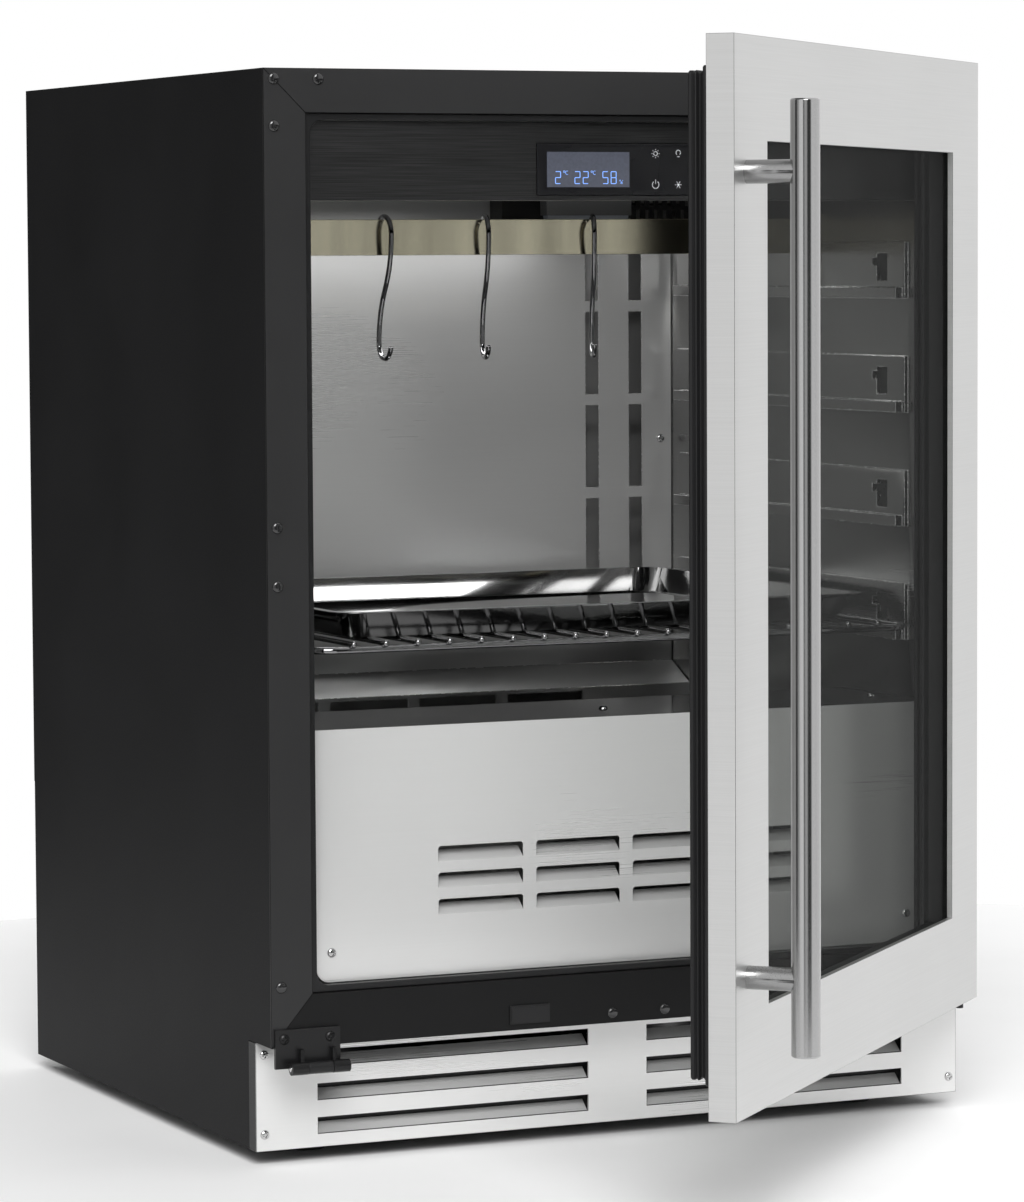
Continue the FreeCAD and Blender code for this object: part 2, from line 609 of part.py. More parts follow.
def fan_housing():
    """The black housing under the ceiling: inlet ring below, slotted outlet in its front.

    Its front runs on past the closed end as the carrier of the lamp.
    """
    skin = "housing_sheet"
    tall = ("housing_bottom", "liner_ceiling - 0.5")
    deep = ("housing_front", "duct_face - clear_gap")
    front = block("housing_face", ("housing_left", "housing_right"),
                  ("housing_front", "housing_front + " + skin), tall)
    under = block("housing_floor", ("housing_end", "housing_right"), deep,
                  ("housing_bottom", "housing_bottom + " + skin))
    end = block("housing_wall", ("housing_end", "housing_end + " + skin), deep, tall)
    tools = [rod("inlet", "z", ("inlet_x", "inlet_y", "housing_bottom - 1"), "inlet_radius", "5")]
    for row in range(5):
        for column in range(15):
            left = "grille_left + %s * grille_pitch" % (column + 0.5 * (row % 2))
            low = "housing_bottom + 11 + %d * grille_row" % row
            depth = ("housing_front - 1", "housing_front + 3")
            tools.append(block("grille_slot", (left, left + " + grille_slot"), depth,
                               (low, low + " + grille_slot_height")))
    node(cut("housing", together("housing_fold", [front, under, end]), tools), "fan_housing")


def lamp():
    """The ultraviolet lamp and its cover, open below."""
    front = "(housing_front - lamp_depth)"
    case = block("lamp_case", ("lamp_left", "lamp_right"), (front, "housing_front - 0.2"),
                 ("lamp_bottom", "lamp_top"))
    inside = block("lamp_inside", ("lamp_left + 1.2", "lamp_right - 1.2"),
                   (front + " + 1.2", "housing_front - 1.4"), ("lamp_bottom - 1", "lamp_top - 1.5"))
    node(cut("lamp_hood", case, [inside]), "uvc_lamp_cover")
    tube = rod("lamp_tube", "x", ("lamp_left + 2", front + " + lamp_depth / 2", "lamp_bottom + 1"),
               "lamp_radius", "lamp_right - lamp_left - 4")
    node(tube, "uvc_lamp")


def fan(name, count, hub_radius, tip_radius, thick, place, axis):
    """A bladed wheel with a bore for the motor's shaft."""
    owner = body(name)
    hub = sketch(owner, "XY_Plane")
    ring(hub, ("0", "0"), hub_radius)
    ring(hub, ("0", "0"), "shaft_radius + running_gap")
    pad(owner, hub, thick)
    blade = sketch(owner, "XY_Plane", "%s / 2 - 1" % thick)
    root, tip = "(%s) - 1" % hub_radius, tip_radius
    outline(blade, [(root, "-6"), (tip, "-20"), (tip, "8"), (root, "6")])
    vane = pad(owner, blade, "2")
    wheel = owner.newObject("PartDesign::PolarPattern", name + "_blades")
    wheel.Originals = [vane]
    spindle = [feature for feature in owner.Origin.OriginFeatures if feature.Role == "Z_Axis"][0]
    wheel.Axis = (spindle, [""])
    wheel.Angle = 360
    wheel.Occurrences = count
    owner.Tip = wheel
    owner.Placement = FreeCAD.Placement(FreeCAD.Vector(), TURNS[axis])
    for letter, text in zip("xyz", place):
        bind(owner, "Placement.Base." + letter, text)
    node(owner, name)


def circulation_fan():
    base = "housing_bottom + 14"
    place = ("inlet_x", "inlet_y", base)
    fan("circulation_fan_blades", 7, "16", "inlet_radius - 4", "22", place, "z")
    motor = rod("motor_can", "z", ("inlet_x", "inlet_y", base + " + 23"), "26", "32")
    shaft = rod("motor_shaft", "z", ("inlet_x", "inlet_y", base + " + 1"), "shaft_radius", "23")
    arm = block("motor_arm", ("inlet_x - arm_half", "inlet_x + arm_half"), ("inlet_y - 8", "inlet_y + 8"),
                (base + " + 52", base + " + 56"))
    node(together("circulation_motor", [motor, shaft, arm]), "circulation_fan_motor")


def evaporator():
    """A finned block behind the duct cover."""
    core = block("evaporator_core", ("-fins_half", "fins_half"), ("fins_front", "fins_back"),
                 ("fins_low", "fins_high"))
    grooves = []
    for index in range(13):
        left = "fins_first + %d * fins_pitch" % index
        grooves.append(block("evaporator_groove", (left, left + " + fins_gap"),
                             ("fins_front - 1", "fins_front + fins_depth"),
                             ("fins_low - 1", "fins_high + 1")))
    node(cut("evaporator_block", core, grooves), "evaporator")


# ---------------------------------------------------------------- hanging bar and hooks
def hanging_bar():
    half = "bar_thick / 2"
    bar = block("bar", ("-bar_half", "bar_half"), ("bar_y - " + half, "bar_y + " + half),
                ("bar_bottom", "bar_top"))
    node(bar, "hanging_bar")
    cradles = []
    face = "(wall_face - ledge_press)"
    for side in (-1, 1):
        near, far = "%d * (%s - 9)" % (side, face), "%d * %s" % (side, face)
        span = (far, near) if side < 0 else (near, far)
        case = block("cradle", span, ("bar_y - 8.5", "bar_y + 8.5"), ("bar_bottom - 26.5", "bar_top + 3.5"))
        end = "%d * (bar_half + 0.3)" % side
        slot = (end, near + " + 1") if side < 0 else (near + " - 1", end)
        groove = block("cradle_slot", slot, ("bar_y - %s - 0.1" % half, "bar_y + %s + 0.1" % half),
                       ("bar_bottom - 0.1", "bar_top + 5"))
        cradles.append(cut("cradle_cut", case, [groove]))
    node(together("cradles", cradles, "Part::Compound"), "bar_brackets")


def hooks():
    """S-hooks bent from round wire, each hung on the bar at its own turn."""
    top = number("bar_top + hook_gap + hook_wire / 2")
    upper, lower = number("hook_top_radius"), number("hook_low_radius")
    high = top - upper
    low = top - number("hook_height") + lower
    bend = 2 * math.atan((upper + lower) / (high - low))
    sweep = (high - low) / (2 * math.sin(bend))
    tip = math.radians(-12)
    flat = FreeCAD.Vector(0, 0, 1)
    for name, across, turn in HOOK_PLACES:
        owner = body(name)
        path = sketch(owner, "YZ_Plane")
        leg_foot = FreeCAD.Vector(upper, high - number("hook_leg"), 0)
        leg_head = FreeCAD.Vector(upper, high, 0)
        rounds = [(0, high, upper, 0, math.pi), (sweep - upper, high, sweep, math.pi, math.pi + bend),
                  (lower - sweep, low, sweep, 0, bend), (0, low, lower, math.pi - tip, 2 * math.pi)]
        arcs = []
        for along, level, radius, start, end in rounds:
            circle = Part.Circle(FreeCAD.Vector(along, level, 0), flat, radius)
            arcs.append(path.addGeometry(Part.ArcOfCircle(circle, start, end), False))
        arch, fall, rise, bowl = arcs
        leg = path.addGeometry(Part.LineSegment(leg_foot, leg_head), False)
        for first, end, second, start in ((leg, 2, arch, 1), (arch, 2, fall, 1), (fall, 2, rise, 2),
                                          (rise, 1, bowl, 2)):
            path.addConstraint(Sketcher.Constraint("Tangent", first, end, second, start))
        for arc, radius, level in ((arch, "hook_top_radius", high), (bowl, "hook_low_radius", low)):
            index = path.addConstraint(Sketcher.Constraint("Radius", arc, number(radius)))
            path.setExpression("Constraints[%d]" % index, formula(radius))
        crown_level = "bar_top + hook_gap + hook_wire / 2 - hook_top_radius"
        bowl_level = "bar_top + hook_gap + hook_wire / 2 - hook_height + hook_low_radius"
        fix_point(path, arch, 3, ("0", crown_level))
        fix_point(path, bowl, 3, ("0", bowl_level))
        profile = ring(sketch(owner, "XY_Plane", crown_level + " - hook_leg"), ("0", "hook_top_radius"),
                       "hook_wire / 2")
        pipe = owner.newObject("PartDesign::AdditivePipe", name + "_wire")
        pipe.Profile = profile
        pipe.Spine = (path, [])
        owner.Placement = FreeCAD.Placement(FreeCAD.Vector(across, 0, 0),
                                            FreeCAD.Rotation(FreeCAD.Vector(0, 0, 1), turn))
        bind(owner, "Placement.Base.y", "bar_y")
        node(owner, name)


# ---------------------------------------------------------------- shelf and tray
def wire_shelf():
    """A bent rail with cross wires welded on top of it."""
    owner = body("wire_shelf")
    level = "ledge_first + runner_height + clear_gap + rail_radius"
    half, corner = number("shelf_half"), number("shelf_corner")
    front, back = number("shelf_front"), number("shelf_back")
    path = sketch(owner, "XY_Plane", level)
    spots = [(-half, front), (half, front), (half, back), (-half, back)]
    inward = [(1, 1), (-1, 1), (-1, -1), (1, -1)]
    ends = []
    for (across, along), (turn_x, turn_y), start in zip(spots, inward, (180, 270, 0, 90)):
        centre = FreeCAD.Vector(across + turn_x * corner, along + turn_y * corner, 0)
        circle = Part.Circle(centre, FreeCAD.Vector(0, 0, 1), corner)
        bend = Part.ArcOfCircle(circle, math.radians(start), math.radians(start + 90))
        ends.append((path.addGeometry(bend, False), bend))
    for (here, bend), (there, following) in zip(ends, ends[1:] + ends[:1]):
        line = path.addGeometry(Part.LineSegment(bend.EndPoint, following.StartPoint), False)
        path.addConstraint(Sketcher.Constraint("Tangent", here, 2, line, 1))
        path.addConstraint(Sketcher.Constraint("Tangent", line, 2, there, 1))
    centres = [("-shelf_half + shelf_corner", "shelf_front + shelf_corner"),
               ("shelf_half - shelf_corner", "shelf_front + shelf_corner"),
               ("shelf_half - shelf_corner", "shelf_back - shelf_corner"),
               ("-shelf_half + shelf_corner", "shelf_back - shelf_corner")]
    for (here, _), place in zip(ends, centres):
        fix_point(path, here, 3, place)
    index = path.addConstraint(Sketcher.Constraint("Radius", ends[0][0], corner))
    path.setExpression("Constraints[%d]" % index, formula("shelf_corner"))
    seam = ring(sketch(owner, "YZ_Plane"), ("shelf_front", level), "rail_radius")
    loop = owner.newObject("PartDesign::AdditivePipe", "shelf_rail")
    loop.Profile = seam
    loop.Spine = (path, [])
    centre = ("0.5 * (shelf_front + shelf_back)", level)
    middle = ring(sketch(owner, "YZ_Plane", "-shelf_half"), centre, "rail_radius")
    pad(owner, middle, "2 * shelf_half")
    lift = level + " + rail_radius + wire_radius - wire_sink"
    first = "-wire_pitch * (wire_count - 1) / 2"
    wire = ring(sketch(owner, "XZ_Plane", "-shelf_front + rail_radius + 1"), (first, lift), "wire_radius")
    bar = pad(owner, wire, "shelf_back - shelf_front + 2 * rail_radius + 2", reverse=True)
    repeat(owner, [bar], "X_Axis", "wire_pitch * (wire_count - 1)", int(number("wire_count")))
    node(owner, "wire_shelf")


def tray_outline(inset, level):
    """A rounded rectangle wire, inset from the tray's rim, at a level."""
    half = number("tray_half") - inset
    front, back = number("tray_front") + inset, number("tray_back") - inset
    corner = number("tray_corner") - min(inset, number("tray_slope")) * 0.5
    edges = []
    spots = [(half - corner, back - corner, 0), (-half + corner, back - corner, 90),
             (-half + corner, front + corner, 180), (half - corner, front + corner, 270)]
    arcs = []
    for across, along, start in spots:
        circle = Part.Circle(FreeCAD.Vector(across, along, level), FreeCAD.Vector(0, 0, 1), corner)
        arcs.append(Part.ArcOfCircle(circle, math.radians(start), math.radians(start + 90)))
    for arc, following in zip(arcs, arcs[1:] + arcs[:1]):
        edges.append(arc.toShape())
        edges.append(Part.LineSegment(arc.EndPoint, following.StartPoint).toShape())
    return Part.Wire(edges)


def tray():
    """A shallow tray with sloping walls, round corners and a flat rim."""
    wall, rim, slope = number("tray_wall"), number("tray_rim"), number("tray_slope")
    rails = "ledge_first + runner_height + 2 * clear_gap + 2 * rail_radius"
    floor = number(rails + " + 2 * wire_radius - wire_sink")
    top = floor + number("tray_height")
    outer = Part.makeLoft([tray_outline(rim + slope, floor), tray_outline(rim, top)], True, True)
    lip = Part.Face(tray_outline(0, top - wall)).extrude(FreeCAD.Vector(0, 0, wall))
    grow = slope * wall / number("tray_height")
    inner = Part.makeLoft([tray_outline(rim + slope + wall - grow, floor + wall),
                           tray_outline(rim + wall - grow, top + wall)], True, True)
    pan = DOC.addObject("Part::Feature", "tray_pan")
    pan.Shape = outer.fuse(lip).cut(inner)
    pan.Placement = FreeCAD.Placement()
    node(pan, "drip_tray")


# ---------------------------------------------------------------- kick plate, bracket and hinges
def kick_plate():
    """The flat plinth sheet with two columns of louvred slots."""
    owner = body("kick_plate")
    out_x = "cab_width / 2"
    pad(owner, oblong(sketch(owner, "XZ_Plane", "-kick_face"), ("-" + out_x, out_x),
                      ("base_level", "toe_height - 0.3")), "kick_sheet", reverse=True)
    profile = sketch(owner, "XZ_Plane", "-kick_face - 3")
    rows = ("kick_slot_first", "kick_slot_first + kick_slot_height")
    oblong(profile, ("kick_slot_inner", "kick_slot_outer"), rows)
    oblong(profile, ("-kick_slot_outer", "-kick_slot_inner"), rows)
    slots = pocket(owner, profile, "6", reverse=True)
    starts = ("kick_slot_inner", "-kick_slot_outer")
    lips = louvre_lips(owner, "kick_face + kick_sheet", "kick_slot_first", "kick_sheet", starts,
                       "kick_slot_outer - kick_slot_inner")
    repeat(owner, [slots] + lips, "Z_Axis", "2 * kick_slot_pitch", 3)
    node(owner, "kick_plate")


def support_bracket():
    """A plate on the sill with two knuckles, a pin through them and a roller between them."""
    plate = block("bracket_plate", ("bracket_left", "bracket_right"), ("-3", "0"),
                  ("bracket_bottom", "bracket_top"))
    pieces = [plate]
    spans = (("barrel_left", "roller_left - 0.3"), ("roller_right + 0.3", "barrel_right"))
    for low, high in spans:
        length = "(%s) - (%s)" % (high, low)
        pieces.append(rod("knuckle", "x", (low, "barrel_y", "barrel_z"), "barrel_radius", length))
        pieces.append(block("web", (low, high), ("barrel_y", "-1"), ("barrel_z", "bracket_bottom + 4")))
    for low in ("rib_first", "rib_second"):
        pieces.append(block("rib", (low, low + " + 3"), ("-8", "-1"),
                            ("bracket_bottom", "bracket_bottom + rib_height")))
    bore = rod("pin_bore", "x", ("barrel_left - 1", "barrel_y", "barrel_z"), "roller_pin",
               "barrel_right - barrel_left - 3")
    node(cut("bracket", together("bracket_solid", pieces), [bore]), "support_bracket")
    pin = rod("roller_axle", "x", ("barrel_left - 0.8", "barrel_y", "barrel_z"), "roller_pin",
              "barrel_right - barrel_left - 3.2")
    node(pin, "roller_pin")
    wheel = rod("roller_solid", "x", ("roller_left", "barrel_y", "barrel_z"), "roller_radius",
                "roller_right - roller_left")
    hole = rod("roller_bore", "x", ("roller_left - 1", "barrel_y", "barrel_z"), "roller_pin + running_gap",
               "roller_right - roller_left + 2")
    node(cut("roller", wheel, [hole]), "support_roller")


def hinge_plate(name, plate_span, pin_z, rear):
    """A flat hinge plate with a narrow neck that carries a fixed pin."""
    foot = block(name + "_foot", ("pin_x - 22", "pin_x + 22"), rear, plate_span)
    neck = block(name + "_neck", ("pin_x - neck_half", "pin_x + neck_half"),
                 ("pin_y", rear[0] + " + 1"), plate_span)
    nose = rod(name + "_nose", "z", ("pin_x", "pin_y", plate_span[0]), "neck_half", "hinge_plate")
    pin = rod(name + "_pin", "z", ("pin_x", "pin_y", pin_z), "pin_radius", "pin_length + 1")
    node(together(name + "_solid", [foot, neck, nose, pin]), name)


def hinges():
    high = ("cab_top", "cab_top + hinge_plate")
    hinge_plate("top_hinge", high, "cab_top - pin_length", ("4", "58"))
    low = "toe_height - hinge_plate"
    hinge_plate("bottom_hinge", (low, "toe_height"), "toe_height - 1", ("4", "30"))
    bushes = []
    levels = {"low_bush": "door_bottom + skin_sheet + 0.2", "high_bush": "cab_top - pin_length - 2"}
    for name, level in levels.items():
        case = block(name + "_case", ("pin_x - 7.5", "pin_x + 7.5"),
                     ("door_front + skin_sheet + 0.1", "pin_y + 11"), (level, level + " + 9.8"))
        foot = ("pin_x", "pin_y", level + " - 1")
        bore = rod(name + "_bore", "z", foot, "pin_radius + running_gap", "12")
        bushes.append(cut(name, case, [bore]))
    node(hang(together("bushes", bushes, "Part::Compound")), "hinge_bushes")


def screw_heads(name, places, radius, height):
    """Separate screw heads; each place is (axis, x, y, z) and the head grows along the axis."""
    pieces = []
    for index, (axis, across, along, level) in enumerate(places):
        place = (str(across), str(along), str(level))
        pieces.append(rod("%s_%d" % (name, index), axis, place, radius, height))
    node(together(name + "_group", pieces, "Part::Compound"), name)


def screws():
    steel = [("y", side * 290.8, "kick_face - 2", level) for side in (-1, 1) for level in (23.6, 83.5)]
    steel += [("y", -243, "cover_face - 2", 159), ("y", 243, "cover_face - 2", 159)]
    steel += [("z", across, "76", "cover_top") for across in (-238, 10, 245)]
    steel += [("y", side * 248, "duct_face - 2", 516.5) for side in (-1, 1)]
    screw_heads("cabinet_screws", steel, "3.6", "2")
    black = [("y", across, "-5", 100) for across in (-288.5, -252)]
    for shift in ("pin_x - 15", "pin_x + 15"):
        black += [("z", shift, along, "cab_top + hinge_plate") for along in (16, 46)]
        black += [("z", shift, "17", "toe_height - hinge_plate - 2")]
    screw_heads("hinge_screws", black, "4", "2")


# ---------------------------------------------------------------- door
def door_skin():
    """A folded stainless panel: front, four edges, rear lip and the window's return."""
    side, low, high = "door_half", "door_bottom", "door_top"
    shell = block("skin_block", ("-" + side, side), ("door_front", "door_rear"), (low, high))
    core = block("skin_core", ("-%s + skin_sheet" % side, side + " - skin_sheet"),
                 ("door_front + skin_sheet", "door_rear - skin_sheet"),
                 (low + " + skin_sheet", high + " - skin_sheet"))
    rear = block("skin_rear_opening", ("-%s + skin_lip" % side, side + " - skin_lip"),
                 ("door_rear - 3", "door_rear + 1"), (low + " + skin_lip", high + " - skin_lip"))
    half = "(door_half - window_margin)"
    window = block("window", ("-" + half, half), ("door_front - 1", "door_front + 3"),
                   (low + " + window_margin + 1", high + " - window_margin"))
    corner = block("skin_corner", (side + " - 2", side + " + 1"), ("door_rear - 2", "door_rear + 1"),
                   (low + " - 1", high + " + 1"))
    sweep = block("hinge_sweep", ("pin_x - 5.6", side + " + 1"),
                  ("door_front + skin_sheet", "door_rear + 1"), ("cab_top - 2", "cab_top + 6"))
    pin_hole = rod("skin_pin_hole", "z", ("pin_x", "pin_y", low + " - 1"), "pin_radius + 0.3", "4")
    folded = cut("skin_folded", shell, [core, rear, window, corner, sweep, pin_hole])
    depth = ("door_front + skin_sheet / 2", "door_front + skin_sheet + window_return")
    lip = block("window_lip", ("-%s - skin_sheet" % half, half + " + skin_sheet"), depth,
                (low + " + window_margin + 1 - skin_sheet", high + " - window_margin + skin_sheet"))
    sight = block("window_sight", ("-" + half, half), ("door_front", "door_front + 9"),
                  (low + " + window_margin + 1", high + " - window_margin"))
    node(hang(together("skin", [folded, cut("window_ring", lip, [sight])])), "door_skin")


def door_rect(name, margin, y_span):
    """A block over the door's outline less a margin."""
    return block(name, ("-door_half + %s" % margin, "door_half - (%s)" % margin), y_span,
                 ("door_bottom + %s" % margin, "door_top - (%s)" % margin))


def door_inside():
    """Liner, glass pack, spacer and gasket of the door."""
    plate = door_rect("door_liner_block", "liner_inset", ("door_rear", "liner_rear"))
    sight = door_rect("door_liner_sight", "sight_margin", ("door_rear - 1", "liner_rear + 1"))
    pane_rear = "pane_front + 2 * pane_thick + cavity_gap"
    seat = door_rect("door_liner_seat", "pane_margin - 0.5", ("door_rear - 1", pane_rear + " + 0.3"))
    step = door_rect("door_liner_step", "liner_inset + 8", ("liner_rear - 4", "liner_rear + 1"))
    low = door_rect("door_liner_low", "liner_inset + 4", ("liner_rear - 4", "liner_rear"))
    rim = cut("door_liner_rim", low, [step])
    node(hang(cut("door_liner_ring", plate, [sight, seat, rim])), "door_liner")
    front = door_rect("pane_outer", "pane_margin", ("pane_front", "pane_front + pane_thick"))
    rear = door_rect("pane_inner", "pane_margin", (pane_rear + " - pane_thick", pane_rear))
    node(hang(together("panes", [front, rear], "Part::Compound")), "door_glass")
    gap = ("pane_front + pane_thick", "pane_front + pane_thick + cavity_gap")
    edge = door_rect("spacer_block", "spacer_margin - spacer_width", gap)
    hole = door_rect("spacer_hole", "spacer_margin", ("pane_front", "pane_front + 30"))
    node(hang(cut("spacer", edge, [hole])), "glass_spacer")
    outer = door_rect("gasket_block", "gasket_inset", ("liner_rear", "gasket_rear"))
    inner = door_rect("gasket_hole", "gasket_inset + gasket_width", ("liner_rear - 1", "gasket_rear + 1"))
    node(hang(cut("gasket", outer, [inner])), "door_gasket")


def handle():
    """A round bar on two posts whose ends are saddled to it."""
    across, along = "-door_half + handle_inset", "door_front - handle_reach"
    middle = "(door_bottom + door_top) / 2"
    owner = body("handle_bar")
    foot = sketch(owner, "XY_Plane", middle + " - handle_length / 2")
    profile = ring(foot, (across, along), "handle_radius")
    bar = pad(owner, profile, "handle_length")
    DOC.recompute()
    ends = ["Edge%d" % index for index, edge in enumerate(bar.Shape.Edges, start=1) if edge.isClosed()]
    bevel = owner.newObject("PartDesign::Chamfer", "handle_bevel")
    bevel.Base = (bar, ends)
    bevel.Size = 1
    node(hang(owner), "handle_bar")
    posts = []
    for side in (-1, 1):
        level = "%s + post_lift + %d * post_spacing / 2" % (middle, side)
        post = rod("post", "y", (across, along, level), "post_radius", "handle_reach")
        bite = rod("post_bite", "z", (across, along, level + " - 20"), "handle_radius", "40")
        posts.append(cut("post_saddled", post, [bite]))
    node(hang(together("posts", posts, "Part::Compound")), "handle_posts")


# ---------------------------------------------------------------- feet and machine chamber
def feet():
    """Levelling feet: a wide pad, a hexagon's round collar and a stud up through the pan."""
    for across, side in (("-foot_x", "left"), ("foot_x", "right")):
        for along, end in (("foot_front", "front"), ("foot_back", "rear")):
            name = "foot_%s_%s" % (end, side)
            points = [("0", "0"), ("foot_radius - 1", "0"), ("foot_radius", "1"), ("foot_radius", "4.5"),
                      ("9", "6"), ("9", "base_level - clear_gap"), ("stud_radius", "base_level - clear_gap"),
                      ("stud_radius", "stud_top - 1"), ("stud_radius - 1", "stud_top"), ("0", "stud_top")]
            node(turned(name, points, (across, along)), name)


def machine_chamber():
    """Compressor, condenser, its blower, the defrost pan and the lead's gland."""
    foot = "base_level + 1.6"
    radius = "pot_radius"
    points = [("0", foot), ("55", foot), ("55", foot + " + 10"), (radius + " - 12", foot + " + 18"),
              (radius, foot + " + 45"), (radius, foot + " + pot_height - 40"),
              (radius + " - 14", foot + " + pot_height - 12"), ("30", foot + " + pot_height"),
              ("0", foot + " + pot_height")]
    node(turned("compressor", points, ("pot_x", "pot_y")), "compressor")
    core = block("condenser_core", ("blower_x - coil_half", "blower_x + coil_half"),
                 ("coil_front", "coil_back"), ("coil_low", "coil_high"))
    grooves = []
    for index in range(12):
        level = "coil_first + %d * coil_pitch" % index
        grooves.append(block("condenser_groove", ("blower_x - coil_half - 1", "blower_x + coil_half + 1"),
                             ("coil_front - 1", "coil_front + coil_depth"), (level, level + " + coil_gap")))
    node(cut("condenser_block", core, grooves), "condenser")
    ring_plate = block("shroud_plate", ("blower_x - shroud_half", "blower_x + shroud_half"),
                       ("shroud_front", "shroud_front + shroud_sheet"), ("shroud_low", "shroud_high"))
    mouth = rod("shroud_mouth", "y", ("blower_x", "shroud_front - 4", "blower_z"), "blower_radius + 5",
                "shroud_sheet + 8")
    shroud = cut("shroud", ring_plate, [mouth])
    can = rod("blower_can", "y", ("blower_x", "shroud_front + 31", "blower_z"), "can_radius", "can_length")
    shaft = rod("blower_shaft", "y", ("blower_x", "shroud_front + 9", "blower_z"), "shaft_radius", "25")
    stay_rows = ("blower_z - 8", "blower_z + 8")
    stay = block("blower_stay", ("blower_x - stay_half", "blower_x + stay_half"),
                 ("stay_back - shroud_sheet", "stay_back"), stay_rows)
    depth = ("shroud_front + 2", "stay_back")
    sides = [block("blower_side", (low, low + " + shroud_sheet"), depth, stay_rows)
             for low in ("blower_x - stay_half", "blower_x + stay_half - shroud_sheet")]
    node(together("blower_motor", [shroud, can, shaft, stay] + sides), "condenser_fan_motor")
    fan("condenser_fan_blades", 5, "20", "blower_radius", "20",
        ("blower_x", "shroud_front + 8", "blower_z"), "y")
    pan = block("pan_block", ("pan_left", "pan_right"), ("pan_front", "pan_back"), ("pan_low", "pan_high"))
    well = block("pan_well", ("pan_left + pan_wall", "pan_right - pan_wall"),
                 ("pan_front + pan_wall", "pan_back - pan_wall"), ("pan_low + pan_wall", "pan_high + 6"))
    node(cut("defrost_pan", pan, [well]), "drain_pan")
    seat = ("gland_x", "cab_depth - 10", "gland_z")
    collar = rod("gland_collar", "y", seat, "gland_radius", "10")
    flange = rod("gland_flange", "y", seat, "gland_flange", "8.8")
    bore = rod("gland_bore", "y", ("gland_x", "cab_depth - 12", "gland_z"), "gland_bore", "14")
    node(cut("gland", together("gland_solid", [collar, flange]), [bore]), "power_gland")


# ---------------------------------------------------------------- build, check and write
def check_document():
    """Stops on any object that failed and on any sub-part with a bad shape."""
    for item in DOC.Objects:
        if "Invalid" in item.State or "Error" in item.State:
            raise RuntimeError("%s failed: %s" % (item.Name, item.State))
    for item in NODES:
        if item.Shape.isNull() or not item.Shape.isValid() or not item.Shape.Solids:
            raise RuntimeError("%s has a bad shape" % item.Label)


def main():
    fill_sheet()
    side_panels()
    top_and_back()
    rear_access_cover()
    base_pan()
    insulation()
    front_frame()
    opening_trim()
    frame_caps()
    liner_wrap()
    side_walls()
    back_duct_cover()
    lower_cover()
    header()
    fan_housing()
    lamp()
    circulation_fan()
    evaporator()
    hanging_bar()
    hooks()
    wire_shelf()
    tray()
    kick_plate()
    support_bracket()
    hinges()
    screws()
    door_skin()
    door_inside()
    handle()
    feet()
    machine_chamber()
    DOC.recompute()
    check_document()
    os.makedirs("parts", exist_ok=True)
    for item in NODES:
        item.Shape.exportStep("parts/%s.step" % item.Label)
    print("wrote %d sub-parts" % len(NODES))


main()
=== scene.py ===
"""Looks of an undercounter dry-ageing refrigerator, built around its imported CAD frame.

Metres, +Z up, the cabinet's front frame in the plane y = 0.
"""

import json
import math

import bmesh
import bpy
from mathutils import Matrix, Vector

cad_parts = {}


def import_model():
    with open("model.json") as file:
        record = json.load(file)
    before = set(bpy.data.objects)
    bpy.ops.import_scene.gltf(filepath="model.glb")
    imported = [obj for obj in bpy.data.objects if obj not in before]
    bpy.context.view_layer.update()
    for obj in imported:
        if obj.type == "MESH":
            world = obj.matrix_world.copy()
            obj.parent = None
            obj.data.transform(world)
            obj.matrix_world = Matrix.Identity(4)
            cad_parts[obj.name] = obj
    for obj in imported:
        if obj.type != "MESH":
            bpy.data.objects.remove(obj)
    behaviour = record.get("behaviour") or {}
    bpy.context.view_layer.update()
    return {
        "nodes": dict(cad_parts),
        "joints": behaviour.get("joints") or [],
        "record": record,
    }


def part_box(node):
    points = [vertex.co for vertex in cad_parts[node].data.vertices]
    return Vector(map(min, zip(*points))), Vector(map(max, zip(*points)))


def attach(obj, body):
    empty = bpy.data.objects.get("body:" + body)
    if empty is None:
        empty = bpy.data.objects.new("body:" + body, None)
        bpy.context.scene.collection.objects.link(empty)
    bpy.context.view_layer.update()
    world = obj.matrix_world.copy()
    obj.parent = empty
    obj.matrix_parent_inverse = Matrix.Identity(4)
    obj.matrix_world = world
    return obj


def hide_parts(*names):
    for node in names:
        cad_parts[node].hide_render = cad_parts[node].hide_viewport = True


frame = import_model()
NODES = frame["nodes"]
RECORD = frame["record"]
BODY = {node: body for body, nodes in RECORD["behaviour"]["bodies"].items() for node in nodes}
SLOT = {row["node"]: row["material_slot"] for row in RECORD["subparts"]}
SWING = [joint for joint in frame["joints"] if joint["name"] == "door_swing"][0]
OPEN = math.radians(-SWING["range_deg"][0])
PIN = Vector(SWING["pos_m"])
HANG = Matrix.Translation(PIN) @ Matrix.Rotation(OPEN, 4, "Z") @ Matrix.Translation(-PIN)
MM = 0.001
MERGE = 0.01 * MM
FLAT = math.radians(0.5)
SHARP = math.radians(32)


# ---------------------------------------------------------------- material nodes
NOISE_LOW, NOISE_HIGH = 0.3, 0.7


def shader_of(name):
    """A new material with its node tree and its shader."""
    made = bpy.data.materials.new(name)
    made.use_nodes = True
    return made, made.node_tree, made.node_tree.nodes["Principled BSDF"]


